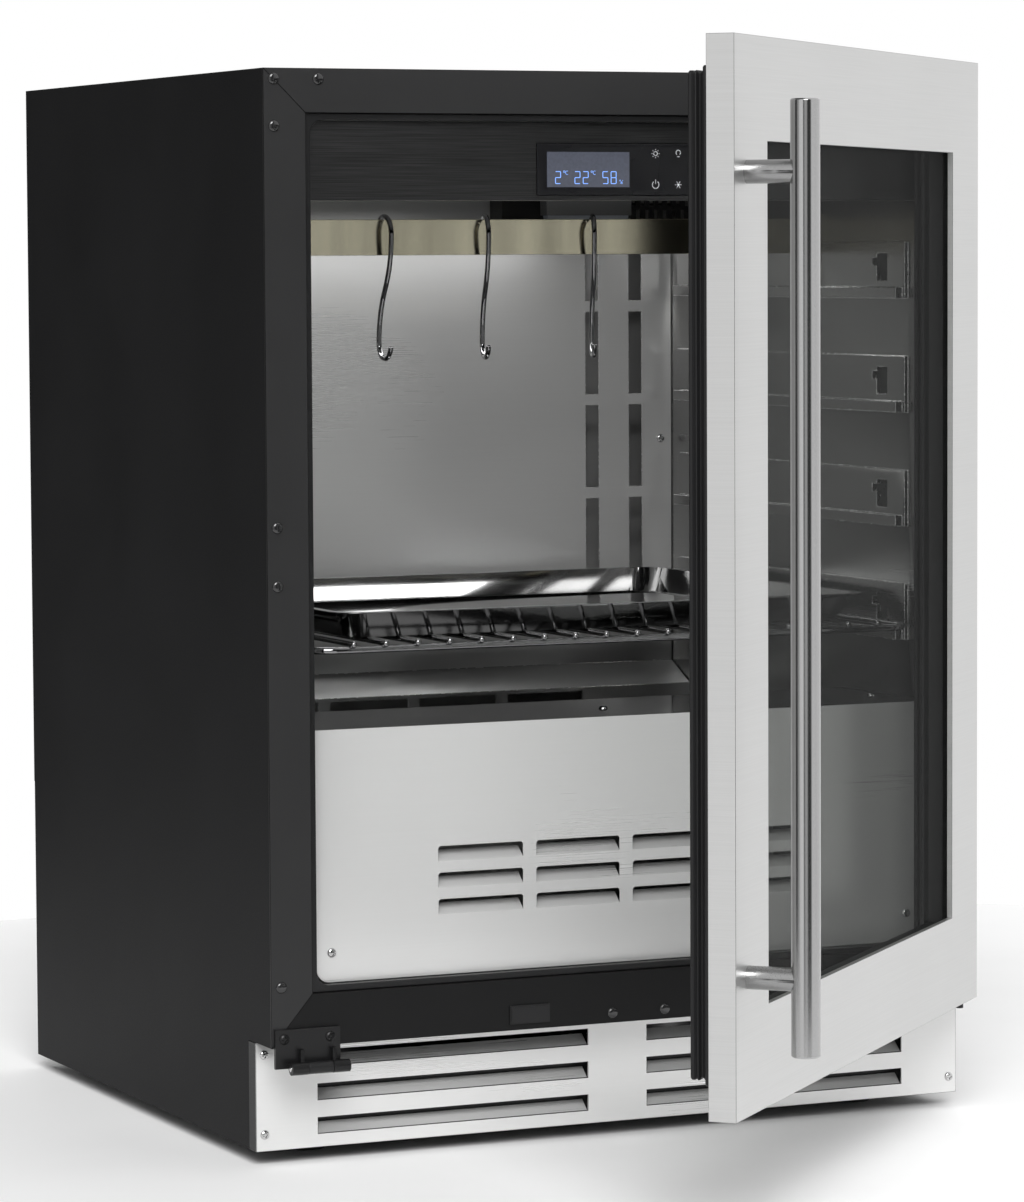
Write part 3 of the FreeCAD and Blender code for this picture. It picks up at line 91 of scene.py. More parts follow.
def noise(tree, size, turn=0.0, detail=2.0):
    """Noise whose features have the given size along X, Y and Z, turned about Z."""
    place = tree.nodes.new("ShaderNodeTexCoord")
    fit = tree.nodes.new("ShaderNodeMapping")
    fit.vector_type = "TEXTURE"
    fit.inputs["Rotation"].default_value = (0.0, 0.0, turn)
    fit.inputs["Scale"].default_value = size
    texture = tree.nodes.new("ShaderNodeTexNoise")
    texture.inputs["Scale"].default_value = 1.0
    texture.inputs["Detail"].default_value = detail
    tree.links.new(place.outputs["Object"], fit.inputs["Vector"])
    tree.links.new(fit.outputs["Vector"], texture.inputs["Vector"])
    return texture.outputs["Fac"]


def spread(tree, value, low, high):
    """A noise value whose usual range is stretched over another."""
    remap = tree.nodes.new("ShaderNodeMapRange")
    remap.inputs["From Min"].default_value = NOISE_LOW
    remap.inputs["From Max"].default_value = NOISE_HIGH
    remap.inputs["To Min"].default_value = low
    remap.inputs["To Max"].default_value = high
    tree.links.new(value, remap.inputs["Value"])
    return remap.outputs["Result"]


def summed(tree, first, second):
    both = tree.nodes.new("ShaderNodeMath")
    both.operation = "ADD"
    tree.links.new(first, both.inputs[0])
    tree.links.new(second, both.inputs[1])
    return both.outputs["Value"]


def coloured(tree, value, shader, dark, light):
    """Runs the base colour from dark to light over a noise value's usual range."""
    ramp = tree.nodes.new("ShaderNodeValToRGB")
    first, last = ramp.color_ramp.elements
    first.position, last.position = NOISE_LOW, NOISE_HIGH
    first.color, last.color = (*dark, 1.0), (*light, 1.0)
    tree.links.new(value, ramp.inputs["Fac"])
    tree.links.new(ramp.outputs["Color"], shader.inputs["Base Color"])


def raised(tree, value, shader, height):
    """Raises the surface by a height where the value is high."""
    bump = tree.nodes.new("ShaderNodeBump")
    bump.inputs["Strength"].default_value = 1.0
    bump.inputs["Distance"].default_value = height
    tree.links.new(value, bump.inputs["Height"])
    tree.links.new(bump.outputs["Normal"], shader.inputs["Normal"])


def scaled(colour, factor):
    return tuple(channel * factor for channel in colour)


def toned(tree, value, shader, colour, contrast):
    coloured(tree, value, shader, scaled(colour, 1 - contrast), scaled(colour, 1 + contrast))


# ---------------------------------------------------------------- kinds of finish
SMUDGE = (0.22, 0.22, 0.16)
SLOW_CHANGE = (0.15, 0.15, 0.15)
DRAWING_MARK = (0.004, 0.004, 0.004)
WIPE = (0.09, 0.09, 0.3)


def brushed(name, colour, roughness, grain, turn=0.0, contrast=0.04, height=0.01 * MM, metallic=1.0):
    """Sheet metal with brush lines and faint, wide smudges; with a wide grain, as on the hanging bar, the
    lines become soft bands of painted reflection.
    """
    made, tree, shader = shader_of(name)
    shader.inputs["Metallic"].default_value = metallic
    lines_and_sheen = noise(tree, grain, turn, 4.0)
    smudges = noise(tree, SMUDGE, turn, 3.0)
    toned(tree, lines_and_sheen, shader, colour, contrast)
    fine, wide = 0.012, 0.03
    rough = summed(tree, spread(tree, lines_and_sheen, -fine, fine),
                   spread(tree, smudges, roughness - wide, roughness + wide))
    tree.links.new(rough, shader.inputs["Roughness"])
    if height:
        raised(tree, lines_and_sheen, shader, height)
    return made


def coated(name, colour, roughness, specular, grit=1.2 * MM, height=0.03 * MM, contrast=0.12):
    """Paint, powder coat, plastic or rubber with a fine grain and a slow change of tone."""
    made, tree, shader = shader_of(name)
    shader.inputs["Specular IOR Level"].default_value = specular
    grain = noise(tree, (grit, grit, grit), 0.0, 2.0)
    slow = noise(tree, SLOW_CHANGE, 0.0, 3.0)
    toned(tree, slow, shader, colour, contrast)
    fine, wide = 0.04, 0.03
    rough = summed(tree, spread(tree, grain, -fine, fine),
                   spread(tree, slow, roughness - wide, roughness + wide))
    tree.links.new(rough, shader.inputs["Roughness"])
    raised(tree, grain, shader, height)
    return made


def plated(name, colour, roughness):
    """Bright metal with a slight waviness and drawing marks."""
    made, tree, shader = shader_of(name)
    shader.inputs["Metallic"].default_value = 1.0
    marks = noise(tree, DRAWING_MARK, 0.0, 3.0)
    coloured(tree, marks, shader, scaled(colour, 0.94), scaled(colour, 1.04))
    smoother, rougher = 0.03, 0.05
    rough = spread(tree, marks, roughness - smoother, roughness + rougher)
    tree.links.new(rough, shader.inputs["Roughness"])
    raised(tree, marks, shader, 0.02 * MM)
    return made


def pane(name, colour, tint, share, roughness, specular):
    """Clear sheet that darkens what is behind it, with a share of surface and faint wipe marks."""
    made, tree, shader = shader_of(name)
    through = tree.nodes.new("ShaderNodeBsdfTransparent")
    through.inputs["Color"].default_value = (*tint, 1.0)
    both = tree.nodes.new("ShaderNodeMixShader")
    both.inputs["Fac"].default_value = share
    tree.links.new(through.outputs["BSDF"], both.inputs[1])
    tree.links.new(shader.outputs["BSDF"], both.inputs[2])
    tree.links.new(both.outputs["Shader"], tree.nodes["Material Output"].inputs["Surface"])
    shader.inputs["Specular IOR Level"].default_value = specular
    wipes = noise(tree, WIPE, OPEN, 3.0)
    toned(tree, wipes, shader, colour, 0.2)
    rougher = 0.04
    tree.links.new(spread(tree, wipes, roughness, roughness + rougher), shader.inputs["Roughness"])
    return made


def glowing(name, colour, strength):
    """A lit mark or display ground with a faint unevenness."""
    made, tree, shader = shader_of(name)
    dots = noise(tree, (2 * MM, 2 * MM, 2 * MM), 0.0, 1.0)
    toned(tree, dots, shader, colour, 0.1)
    shader.inputs["Emission Color"].default_value = (*colour, 1.0)
    shader.inputs["Emission Strength"].default_value = strength
    tree.links.new(spread(tree, dots, 0.15, 0.25), shader.inputs["Roughness"])
    return made


LINE = 0.7 * MM
LONG_LINES = (0.12, 0.12, LINE)
LINER_LINES = (0.06, 0.06, 0.6 * MM)
ROUND_LINES = (1.2 * MM, 1.2 * MM, 0.5 * MM)
FINISHES = {
    "cabinet_black": coated("cabinet_black", (0.012, 0.012, 0.0125), 0.6, 0.15),
    "frame_black": coated("frame_black", (0.016, 0.016, 0.0165), 0.45, 0.4, height=0.01 * MM),
    "trim_black": coated("trim_black", (0.009, 0.009, 0.0095), 0.38, 0.35, grit=2 * MM, height=0.0),
    "door_steel": brushed("door_steel", (0.6, 0.6, 0.596), 0.36, (0.09, 0.09, LINE), turn=OPEN,
                          contrast=0.03),
    "cover_steel": brushed("cover_steel", (0.74, 0.74, 0.735), 0.3, LONG_LINES, contrast=0.008,
                           height=0.0, metallic=0.5),
    "liner_steel": brushed("liner_steel", (0.64, 0.64, 0.635), 0.3, LINER_LINES, contrast=0.01,
                           height=0.0, metallic=0.6),
    "header_black": brushed("header_black", (0.08, 0.08, 0.081), 0.33, (0.05, 0.05, LINE), contrast=0.25,
                            height=0.02 * MM),
    "display_black": coated("display_black", (0.008, 0.008, 0.009), 0.2, 0.3, grit=4 * MM,
                            height=0.005 * MM),
    "screen_glass": glowing("screen_glass", (0.06, 0.065, 0.085), 0.3),
    "housing_plastic": coated("housing_plastic", (0.01, 0.01, 0.0105), 0.5, 0.3),
    "lamp_cover_plastic": coated("lamp_cover_plastic", (0.16, 0.162, 0.166), 0.22, 0.5),
    "lamp_glass": pane("lamp_glass", (0.8, 0.85, 0.95), (0.8, 0.85, 0.95), 0.5, 0.05, 0.5),
    "gasket_rubber": coated("gasket_rubber", (0.009, 0.009, 0.0095), 0.6, 0.3, grit=1.5 * MM,
                            height=0.04 * MM),
    "door_glass": pane("door_glass", (0.03, 0.032, 0.032), (0.84, 0.844, 0.84), 0.05, 0.02, 0.5),
    "handle_steel": brushed("handle_steel", (0.42, 0.42, 0.42), 0.15, ROUND_LINES, turn=OPEN,
                            contrast=0.05, height=0.003 * MM),
    "chrome": plated("chrome", (0.26, 0.26, 0.264), 0.05),
    # Hanging bar: the warm tint and the soft colour bands about 30 mm apart along the bar are painted
    # reflection.
    "bar_steel": brushed("bar_steel", (0.68, 0.63, 0.48), 0.13, (0.03, 0.03, 0.6), contrast=0.25,
                         height=0.02 * MM),
    "tray_steel": brushed("tray_steel", (0.32, 0.32, 0.32), 0.07, (0.15, 0.01, 0.02), contrast=0.03,
                          height=0.003 * MM),
    "screw_steel": plated("screw_steel", (0.62, 0.62, 0.62), 0.12),
    "hinge_black": coated("hinge_black", (0.006, 0.006, 0.0064), 0.35, 0.35),
    "foam": coated("foam", (0.02, 0.02, 0.019), 0.85, 0.2, grit=3 * MM, height=0.3 * MM),
    "fin_aluminium": brushed("fin_aluminium", (0.6, 0.61, 0.62), 0.3, (0.002, 0.05, 0.05)),
    "motor_metal": coated("motor_metal", (0.012, 0.012, 0.013), 0.4, 0.4, grit=2 * MM, height=0.05 * MM),
    "fan_plastic": coated("fan_plastic", (0.02, 0.02, 0.021), 0.5, 0.3),
    "spacer_black": coated("spacer_black", (0.008, 0.008, 0.008), 0.5, 0.3),
    "foot_plastic": coated("foot_plastic", (0.012, 0.012, 0.012), 0.5, 0.3),
    "gland_rubber": coated("gland_rubber", (0.012, 0.012, 0.012), 0.7, 0.3),
    "pan_plastic": coated("pan_plastic", (0.02, 0.02, 0.02), 0.5, 0.3),
}
# A darker copy of the liner steel for the liner's side walls: painted shade.
SHADED_WALL_STEEL = brushed("shaded_wall_steel", (0.3, 0.3, 0.298), 0.24, LINER_LINES, contrast=0.03, height=0.001 * MM)
# A rougher, darker copy of the handle steel for the handle posts: the roughness is the posts' own, the
# darker tone is painted shade.
SHADED_POST_STEEL = brushed("shaded_post_steel", (0.32, 0.32, 0.32), 0.27, ROUND_LINES, turn=OPEN, contrast=0.05,
                     height=0.003 * MM)
CAP_BLACK = coated("cap_black", (0.012, 0.012, 0.0125), 0.14, 0.8, grit=2 * MM, height=0.0)
# Bright metal on the rounded edges of the liner walls and the duct cover: painted highlight of lit edges.
PAINTED_HIGHLIGHT_EDGE = plated("painted_highlight_edge", (0.8, 0.8, 0.8), 0.25)
# A darker copy of the frame paint for the bottom frame strip: painted shade on the sill.
SHADED_SILL_BLACK = coated("shaded_sill_black", (0.006, 0.006, 0.0062), 0.5, 0.2, height=0.01 * MM)
SEAM_BLACK = coated("seam_black", (0.002, 0.002, 0.002), 0.6, 0.1)
# A darker, smoother copy of the cover steel for the lower cover's top faces: painted dark reflection.
POLISHED_SHADED_STEEL = brushed("polished_shaded_steel", (0.3, 0.3, 0.3), 0.1, (0.12, 0.12, 2 * MM), contrast=0.03, height=0.0)
# Dark metal on the rounded fold edges of the door skin and the kick plate: painted shade along the folds.
SHADED_FOLD_STEEL = plated("shaded_fold_steel", (0.12, 0.12, 0.12), 0.3)
MARK_WHITE = glowing("mark_white", (0.85, 0.86, 0.88), 0.7)
MARK_BLUE = glowing("mark_blue", (0.16, 0.3, 0.7), 1.0)

for node, item in NODES.items():
    item.data.materials.clear()
    item.data.materials.append(FINISHES[SLOT[node]])


# ---------------------------------------------------------------- mesh helpers
def piece(name, work, node, finish=None, stands_for=True):
    """A mesh piece that rides with a CAD node's body and takes its finish."""
    mesh = bpy.data.meshes.new(name)
    bmesh.ops.recalc_face_normals(work, faces=work.faces)
    work.to_mesh(mesh)
    work.free()
    mesh.shade_smooth()
    mesh.set_sharp_from_angle(angle=SHARP)
    mesh.materials.append(finish or FINISHES[SLOT[node]])
    item = bpy.data.objects.new(name, mesh)
    bpy.context.scene.collection.objects.link(item)
    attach(item, BODY[node])
    if stands_for:
        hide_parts(node)
    return item


def flattened(node):
    """The CAD mesh of a node with its triangles joined into flat faces."""
    work = bmesh.new()
    work.from_mesh(NODES[node].data)
    bmesh.ops.remove_doubles(work, verts=work.verts, dist=MERGE)
    bmesh.ops.dissolve_limit(work, angle_limit=FLAT, verts=work.verts[:], edges=work.edges[:])
    return work


# Own finishes: darker copies of shared finishes that paint shade on the liner side walls, the handle posts
# and the sill.
OWN_FINISH = {"liner_left_wall": SHADED_WALL_STEEL, "liner_right_wall": SHADED_WALL_STEEL, "handle_posts": SHADED_POST_STEEL,
              "frame_bottom": SHADED_SILL_BLACK}
# Finishes of the rounded edges: painted highlight on the liner walls and the duct cover, painted shade
# along the folds of the door skin and the kick plate, dark mitre seams on the frame strips.
EDGES = {"door_skin": SHADED_FOLD_STEEL, "liner_left_wall": PAINTED_HIGHLIGHT_EDGE, "liner_right_wall": PAINTED_HIGHLIGHT_EDGE,
         "back_duct_cover": PAINTED_HIGHLIGHT_EDGE, "kick_plate": SHADED_FOLD_STEEL, "frame_left": SEAM_BLACK,
         "frame_right": SEAM_BLACK, "frame_top": SEAM_BLACK, "frame_bottom": SEAM_BLACK}
SHADED_TOP_BAND = 50 * MM


def polish_and_shade_top(item, node):
    """Gives the faces that look up, near the top of a piece, a smoother and darker finish: the smoothness
    is polish, the darker tone is a painted dark reflection.
    """
    item.data.materials.append(POLISHED_SHADED_STEEL)
    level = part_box(node)[1].z - SHADED_TOP_BAND
    for face in item.data.polygons:
        looks_up = face.normal.z > 0.5
        face.material_index = int(looks_up and face.center.z > level)


def softened(node, width):
    """Stands for a CAD node with its hard edges rounded, as folded or moulded edges are."""
    item = piece(node + "_shell", flattened(node), node, OWN_FINISH.get(node))
    bevel = item.modifiers.new("rounded_edges", "BEVEL")
    bevel.width = width
    bevel.segments = 2
    bevel.limit_method = "ANGLE"
    bevel.angle_limit = SHARP
    bevel.harden_normals = True
    if node == "lower_cover":
        polish_and_shade_top(item, node)
    # The rounded edges take their node's edge finish, partly painted highlight and painted shade.
    if node in EDGES:
        item.data.materials.append(EDGES[node])
        bevel.material = 1


def extent(points):
    """Lowest and highest corner of some points."""
    return [Vector([fold(point[axis] for point in points) for axis in range(3)]) for fold in (min, max)]


def islands(node):
    """Lowest and highest corner of each separate solid of a node."""
    work = bmesh.new()
    work.from_mesh(NODES[node].data)
    bmesh.ops.remove_doubles(work, verts=work.verts, dist=MERGE)
    left, boxes = set(work.verts), []
    while left:
        found, edge = set(), [left.pop()]
        while edge:
            vertex = edge.pop()
            found.add(vertex)
            near = {link.other_vert(vertex) for link in vertex.link_edges} & left
            left -= near
            edge.extend(near)
        boxes.append(extent([vertex.co for vertex in found]))
    work.free()
    return sorted(boxes, key=lambda pair: tuple(pair[0]))


def closed_box(node):
    """The box of a door node with the door shut."""
    shut = HANG.inverted()
    return extent([shut @ vertex.co for vertex in NODES[node].data.vertices])


def ring_sweep(profile, low, high, corner, steps=5):
    """Sweeps a closed profile of (inset, y) points round a rectangle with round corners."""
    work = bmesh.new()
    loops = []
    least_radius = 0.4 * MM
    for inset, depth in profile:
        radius = max(corner - inset, least_radius)
        loop = []
        for side_x, side_z, start in ((1, 1, 0), (-1, 1, 90), (-1, -1, 180), (1, -1, 270)):
            centre_x = (high.x if side_x > 0 else low.x) - side_x * (inset + radius)
            centre_z = (high.z if side_z > 0 else low.z) - side_z * (inset + radius)
            for step in range(steps + 1):
                angle = math.radians(start + 90 * step / steps)
                x, z = centre_x + radius * math.cos(angle), centre_z + radius * math.sin(angle)
                loop.append(work.verts.new((x, depth, z)))
        loops.append(loop)
    count = len(loops[0])
    for here, there in zip(loops, loops[1:] + loops[:1]):
        for index in range(count):
            after = (index + 1) % count
            work.faces.new((here[index], here[after], there[after], there[index]))
    return work


def screw_head(work, centre, axis, radius, height, recess=True):
    """A domed head with a cross recess; centre is the middle of its seat."""
    turns, rings = 40, 9
    turn = Vector((0, 0, 1)).rotation_difference(axis).to_matrix()
    arm, reach, depth, bulge = 0.16 * radius, 0.62 * radius, 0.45 * height, 2.6
    rows = []
    for ring in range(1, rings + 1):
        row = []
        away = radius * ring / rings
        for step in range(turns):
            angle = 2 * math.pi * step / turns
            x, y = away * math.cos(angle), away * math.sin(angle)
            rise = height * math.sqrt(max(0.0, 1 - (away / radius) ** bulge))
            crossed = min(abs(x), abs(y)) < arm and max(abs(x), abs(y)) < reach
            if recess and crossed:
                rise -= depth
            row.append(work.verts.new(centre + turn @ Vector((x, y, rise))))
        rows.append(row)
    top = height - depth if recess else height
    middle = work.verts.new(centre + turn @ Vector((0, 0, top)))
    for step in range(turns):
        after = (step + 1) % turns
        work.faces.new((middle, rows[0][step], rows[0][after]))
        for inner, outer in zip(rows, rows[1:]):
            work.faces.new((inner[step], outer[step], outer[after], inner[after]))
    work.faces.new(rows[-1][::-1])


def plate(work, points, front, back):
    """A flat shape in the XZ plane, between two depths."""
    faces = []
    for depth in (front, back):
        faces.append([work.verts.new((x, depth, z)) for x, z in points])
    work.faces.new(faces[0])
    work.faces.new(faces[1][::-1])
    count = len(points)
    for index in range(count):
        after = (index + 1) % count
        work.faces.new((faces[0][index], faces[1][index], faces[1][after], faces[0][after]))


# ---------------------------------------------------------------- screws and caps
FORWARD, DOWN, UP = Vector((0, -1, 0)), Vector((0, 0, -1)), Vector((0, 0, 1))
LOW_HINGE_TOP = 100 * MM


def screws():
    """Cross-recessed heads where the CAD has its plain ones.

    A head that faces forward is thinnest along Y. The others hold the hinges: the low one's look down,
    the high one's look up.
    """
    for node in ("cabinet_screws", "hinge_screws"):
        work = bmesh.new()
        for low, high in islands(node):
            size, middle = high - low, (low + high) / 2
            if size.y < size.x * 0.9:
                axis, seat = FORWARD, Vector((middle.x, high.y, middle.z))
            elif middle.z < LOW_HINGE_TOP:
                axis, seat = DOWN, Vector((middle.x, middle.y, high.z))
            else:
                axis, seat = UP, Vector((middle.x, middle.y, low.z))
            screw_head(work, seat, axis, size.x / 2, min(size))
        piece(node + "_heads", work, node)


def caps():
    """Domed black screw heads of the frame, and the small cover of the sill."""
    work, cover = bmesh.new(), bmesh.new()
    for low, high in islands("frame_caps"):
        size, middle = high - low, (low + high) / 2
        if size.x < 2 * size.z:
            seat = Vector((middle.x, high.y, middle.z))
            screw_head(work, seat, FORWARD, size.x / 2, size.y, recess=False)
            continue
        edge, rise = 1.2 * MM, 0.6 * MM
        for inset, front in ((0.0, low.y + rise), (edge, low.y)):
            corners = [(low.x + inset, low.z + inset), (high.x - inset, low.z + inset),
                       (high.x - inset, high.z - inset), (low.x + inset, high.z - inset)]
            plate(cover, corners, front, high.y)
    piece("frame_cap_heads", work, "frame_caps", CAP_BLACK)
    piece("sill_cover", cover, "frame_caps", stands_for=False)


def wire_tips():
    """The rounded front ends of the shelf's cross wires."""
    end_face, between_wires, setback, tip_radius = 0.05 * MM, 8 * MM, 0.6 * MM, 2.6 * MM
    points = [vertex.co for vertex in NODES["wire_shelf"].data.vertices]
    front = min(point.y for point in points)
    ends = sorted((point for point in points if point.y < front + end_face), key=lambda point: point.x)
    work = bmesh.new()
    group = []
    for point, after in zip(ends, ends[1:] + [None]):
        group.append(point)
        if after is None or after.x - point.x > between_wires:
            middle = (Vector(map(min, *group)) + Vector(map(max, *group))) / 2
            place = Matrix.Translation(middle + Vector((0, setback, 0)))
            bmesh.ops.create_uvsphere(work, u_segments=20, v_segments=12, radius=tip_radius, matrix=place)
            group = []
    piece("wire_shelf_tips", work, "wire_shelf", stands_for=False)


# ---------------------------------------------------------------- door rings
def door_moulding():
    """The black frame behind the door's skin, with a step round its side and a groove in its back."""
    low, high = closed_box("door_liner")
    back, rear = low.y, high.y
    depth = rear - back
    inner = 41 * MM
    profile = [(0.6 * MM, back), (0.0, back + 0.1 * depth), (0.0, back + 0.26 * depth),
               (1.4 * MM, back + 0.31 * depth), (1.4 * MM, back + 0.4 * depth),
               (0.0, back + 0.45 * depth), (0.0, back + 0.66 * depth), (2.0 * MM, back + 0.72 * depth),
               (2.0 * MM, rear - 0.8 * MM), (2.8 * MM, rear), (5.0 * MM, rear), (5.4 * MM, rear - 0.8 * MM),
               (20.0 * MM, rear - 0.8 * MM), (20.4 * MM, rear), (inner - 2 * MM, rear),
               (inner - 0.5 * MM, rear - 0.5 * MM), (inner, rear - 2 * MM), (inner, rear - 3.4 * MM),
               (inner - 10 * MM, rear - 3.5 * MM), (inner - 10 * MM, back)]
    work = ring_sweep(profile, low, high, 4 * MM)
    work.transform(HANG)
    piece("door_liner_moulding", work, "door_liner")


def door_bellows():
    """The folded gasket on the back of the moulding."""
    low, high = closed_box("door_gasket")
    base, head = low.y, high.y
    width = 14 * MM
    profile = [(1.5 * MM, base), (0.6 * MM, base + 1.6 * MM), (2.2 * MM, base + 3.0 * MM),
               (2.4 * MM, base + 4.2 * MM), (0.3 * MM, base + 5.6 * MM), (0.0, base + 6.4 * MM),
               (1.6 * MM, base + 7.4 * MM), (0.2 * MM, head - 2.6 * MM), (0.2 * MM, head - 0.8 * MM),
               (1.0 * MM, head), (width * 0.5, head - 0.25 * MM), (width - 1.0 * MM, head),
               (width - 0.2 * MM, head - 0.8 * MM), (width - 0.2 * MM, head - 2.8 * MM),
               (width - 2.0 * MM, head - 4.2 * MM), (width, base + 5.4 * MM),
               (width - 2.6 * MM, base + 3.2 * MM), (width - 1.0 * MM, base + 1.4 * MM),
               (width - 2.0 * MM, base)]
    work = ring_sweep(profile, low, high, 3 * MM)
    work.transform(HANG)
    piece("door_gasket_bellows", work, "door_gasket")


# ---------------------------------------------------------------- display
SEGMENTS = {"2": "abged", "5": "afgcd", "8": "abcdefg"}


def stroke(work, start, end, thick, front, back):
    """A bar with pointed ends, as a segment of a display digit."""
    start, end = Vector(start), Vector(end)
    along = (end - start).normalized()
    side = Vector((-along.y, along.x)) * thick / 2
    tip = along * thick / 2
    points = [start, start + tip + side, end - tip + side, end, end - tip - side, start + tip - side]
    plate(work, [(point.x, point.y) for point in points], front, back)


def digit(work, sign, x, z, width, height, front, back):
    """A seven-segment figure with its lower left corner at x, z."""
    thick = 0.14 * width
    half = height / 2
    places = {
        "a": ((0, height), (width, height)), "b": ((width, height), (width, half)),
        "c": ((width, half), (width, 0)), "d": ((0, 0), (width, 0)), "e": ((0, half), (0, 0)),
        "f": ((0, height), (0, half)), "g": ((0, half), (width, half)),
    }
    for name in SEGMENTS[sign]:
        (x0, z0), (x1, z1) = places[name]
        stroke(work, (x + x0, z + z0), (x + x1, z + z1), thick, front, back)


def arc_band(work, x, z, radius, thick, start, end, front, back, steps=20):
    """Part of a flat ring, from one angle to another."""
    turns = [math.radians(start + (end - start) * step / steps) for step in range(steps + 1)]
    bore = radius - thick
    outer = [(x + radius * math.cos(turn), z + radius * math.sin(turn)) for turn in turns]
    inner = [(x + bore * math.cos(turn), z + bore * math.sin(turn)) for turn in turns]
    for index in range(steps):
        quad = [outer[index], outer[index + 1], inner[index + 1], inner[index]]
        plate(work, quad, front, back)


def display_figures():
    """Two temperatures with their degree signs and C's, and a humidity with its per cent sign."""
    low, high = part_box("display_screen")
    wide, tall = high.x - low.x, high.z - low.z
    front, back = low.y - 0.12 * MM, low.y + 0.02 * MM
    base, height = low.z + 0.1 * tall, 0.34 * tall
    width = 0.062 * wide
    work = bmesh.new()
    for sign, place in (("2", 0.1), ("2", 0.335), ("2", 0.435), ("5", 0.675), ("8", 0.775)):
        digit(work, sign, low.x + place * wide, base, width, height, front, back)
    for place in (0.205, 0.54):
        arc_band(work, low.x + place * wide, base + height, 0.8 * MM, 0.3 * MM, 0, 360, front, back)
        arc_band(work, low.x + (place + 0.036) * wide, base + height - 0.8 * MM, 1.5 * MM, 0.35 * MM,
                 60, 300, front, back)
    percent = 0.885
    for drop in (0.0, 1.9):
        arc_band(work, low.x + (percent + 0.012 * drop) * wide, base + (2.3 - drop) * MM, 0.6 * MM,
                 0.25 * MM, 0, 360, front, back)
    foot, tip = (low.x + percent * wide, base), (low.x + 0.92 * wide, base + 2.6 * MM)
    stroke(work, foot, tip, 0.3 * MM, front, back)
    piece("display_figures", work, "display_screen", MARK_BLUE, stands_for=False)


def touch_symbols():
    """Plain marks right of the screen: a lamp, a star, a power sign, a snowflake and two arrows."""
    low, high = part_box("display_screen")
    wide, tall = high.x - low.x, high.z - low.z
    case_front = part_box("display_module")[0].y
    front, back = case_front, case_front + 0.1 * MM
    upper, lower = low.z + 0.96 * tall, low.z + 0.07 * tall
    columns = [low.x + share * wide for share in (1.32, 1.6, 1.88)]
    work = bmesh.new()
    thick = 0.7 * MM
    arc_band(work, columns[0], lower, 3.1 * MM, thick, 125, 415, front, back)
    stroke(work, (columns[0], lower + 0.6 * MM), (columns[0], lower + 4.0 * MM), thick, front, back)
    arc_band(work, columns[0], upper, 1.9 * MM, thick, 0, 360, front, back)
    for step in range(8):
        ray = Vector((math.cos(math.pi * step / 4), math.sin(math.pi * step / 4)))
        start, end = ray * 2.4 * MM, ray * 3.6 * MM
        stroke(work, (columns[0] + start.x, upper + start.y), (columns[0] + end.x, upper + end.y),
               0.5 * MM, front, back)
    for level, way in ((upper, 1), (lower, -1)):
        tip = (columns[2], level + way * 2.2 * MM)
        for side in (-1, 1):
            stroke(work, (columns[2] + side * 3 * MM, level - way * 1.2 * MM), tip, thick, front, back)
    arc_band(work, columns[1], upper + 0.8 * MM, 2.2 * MM, thick, -50, 230, front, back)
    stroke(work, (columns[1] - 1.2 * MM, upper - 2.2 * MM), (columns[1] + 1.2 * MM, upper - 2.2 * MM),
           thick, front, back)
    for turn in range(3):
        ray = Vector((math.cos(math.pi * turn / 3), math.sin(math.pi * turn / 3))) * 3 * MM
        stroke(work, (columns[1] - ray.x, lower - ray.y), (columns[1] + ray.x, lower + ray.y),
               0.55 * MM, front, back)
    piece("display_symbols", work, "display_module", MARK_WHITE, stands_for=False)


# ---------------------------------------------------------------- the rest of the pieces
ROUNDED = {
    "door_skin": 0.7, "kick_plate": 0.35, "lower_cover": 0.4, "back_duct_cover": 0.35,
    "liner_left_wall": 1.0, "liner_right_wall": 1.0, "liner_wrap": 0.4, "header_panel": 0.5,
    "display_module": 0.6, "fan_housing": 0.5, "uvc_lamp_cover": 0.5, "hanging_bar": 0.5,
    "bar_brackets": 0.6, "frame_left": 0.3, "frame_right": 0.3, "frame_top": 0.3, "frame_bottom": 0.3,
    "opening_trim": 0.8, "left_side_panel": 0.3, "right_side_panel": 0.3, "top_panel": 0.3,
    "back_cover": 0.3, "rear_access_cover": 0.3, "support_bracket": 0.8, "top_hinge": 0.4,
    "bottom_hinge": 0.4, "base_pan": 0.4, "drip_tray": 0.25, "handle_bar": 0.3, "power_gland": 0.8,
    "drain_pan": 0.6, "support_roller": 0.4, "roller_pin": 0.4, "compressor": 1.5,
    "condenser_fan_motor": 0.6, "circulation_fan_motor": 0.6, "circulation_fan_blades": 0.4,
    "condenser_fan_blades": 0.4, "hook_left": 0.5, "hook_middle": 0.5, "hook_right": 0.5,
}
SMOOTH = ["handle_posts", "wire_shelf", "foot_front_left", "foot_front_right", "foot_rear_left",
          "foot_rear_right"]


def shells():
    """The nodes whose CAD shape stays: softened by a width in millimetres, or only shaded smooth."""
    for node, width in ROUNDED.items():
        softened(node, width * MM)
    for node in SMOOTH:
        piece(node + "_shell", flattened(node), node, OWN_FINISH.get(node))


# ---------------------------------------------------------------- studio
CAMERA_PLACE = (-1.6059, -3.3033, 0.6761)
CAMERA_TURN = (24.488, -4.089, -0.307)
LENS, SENSOR = 145.89285, 36


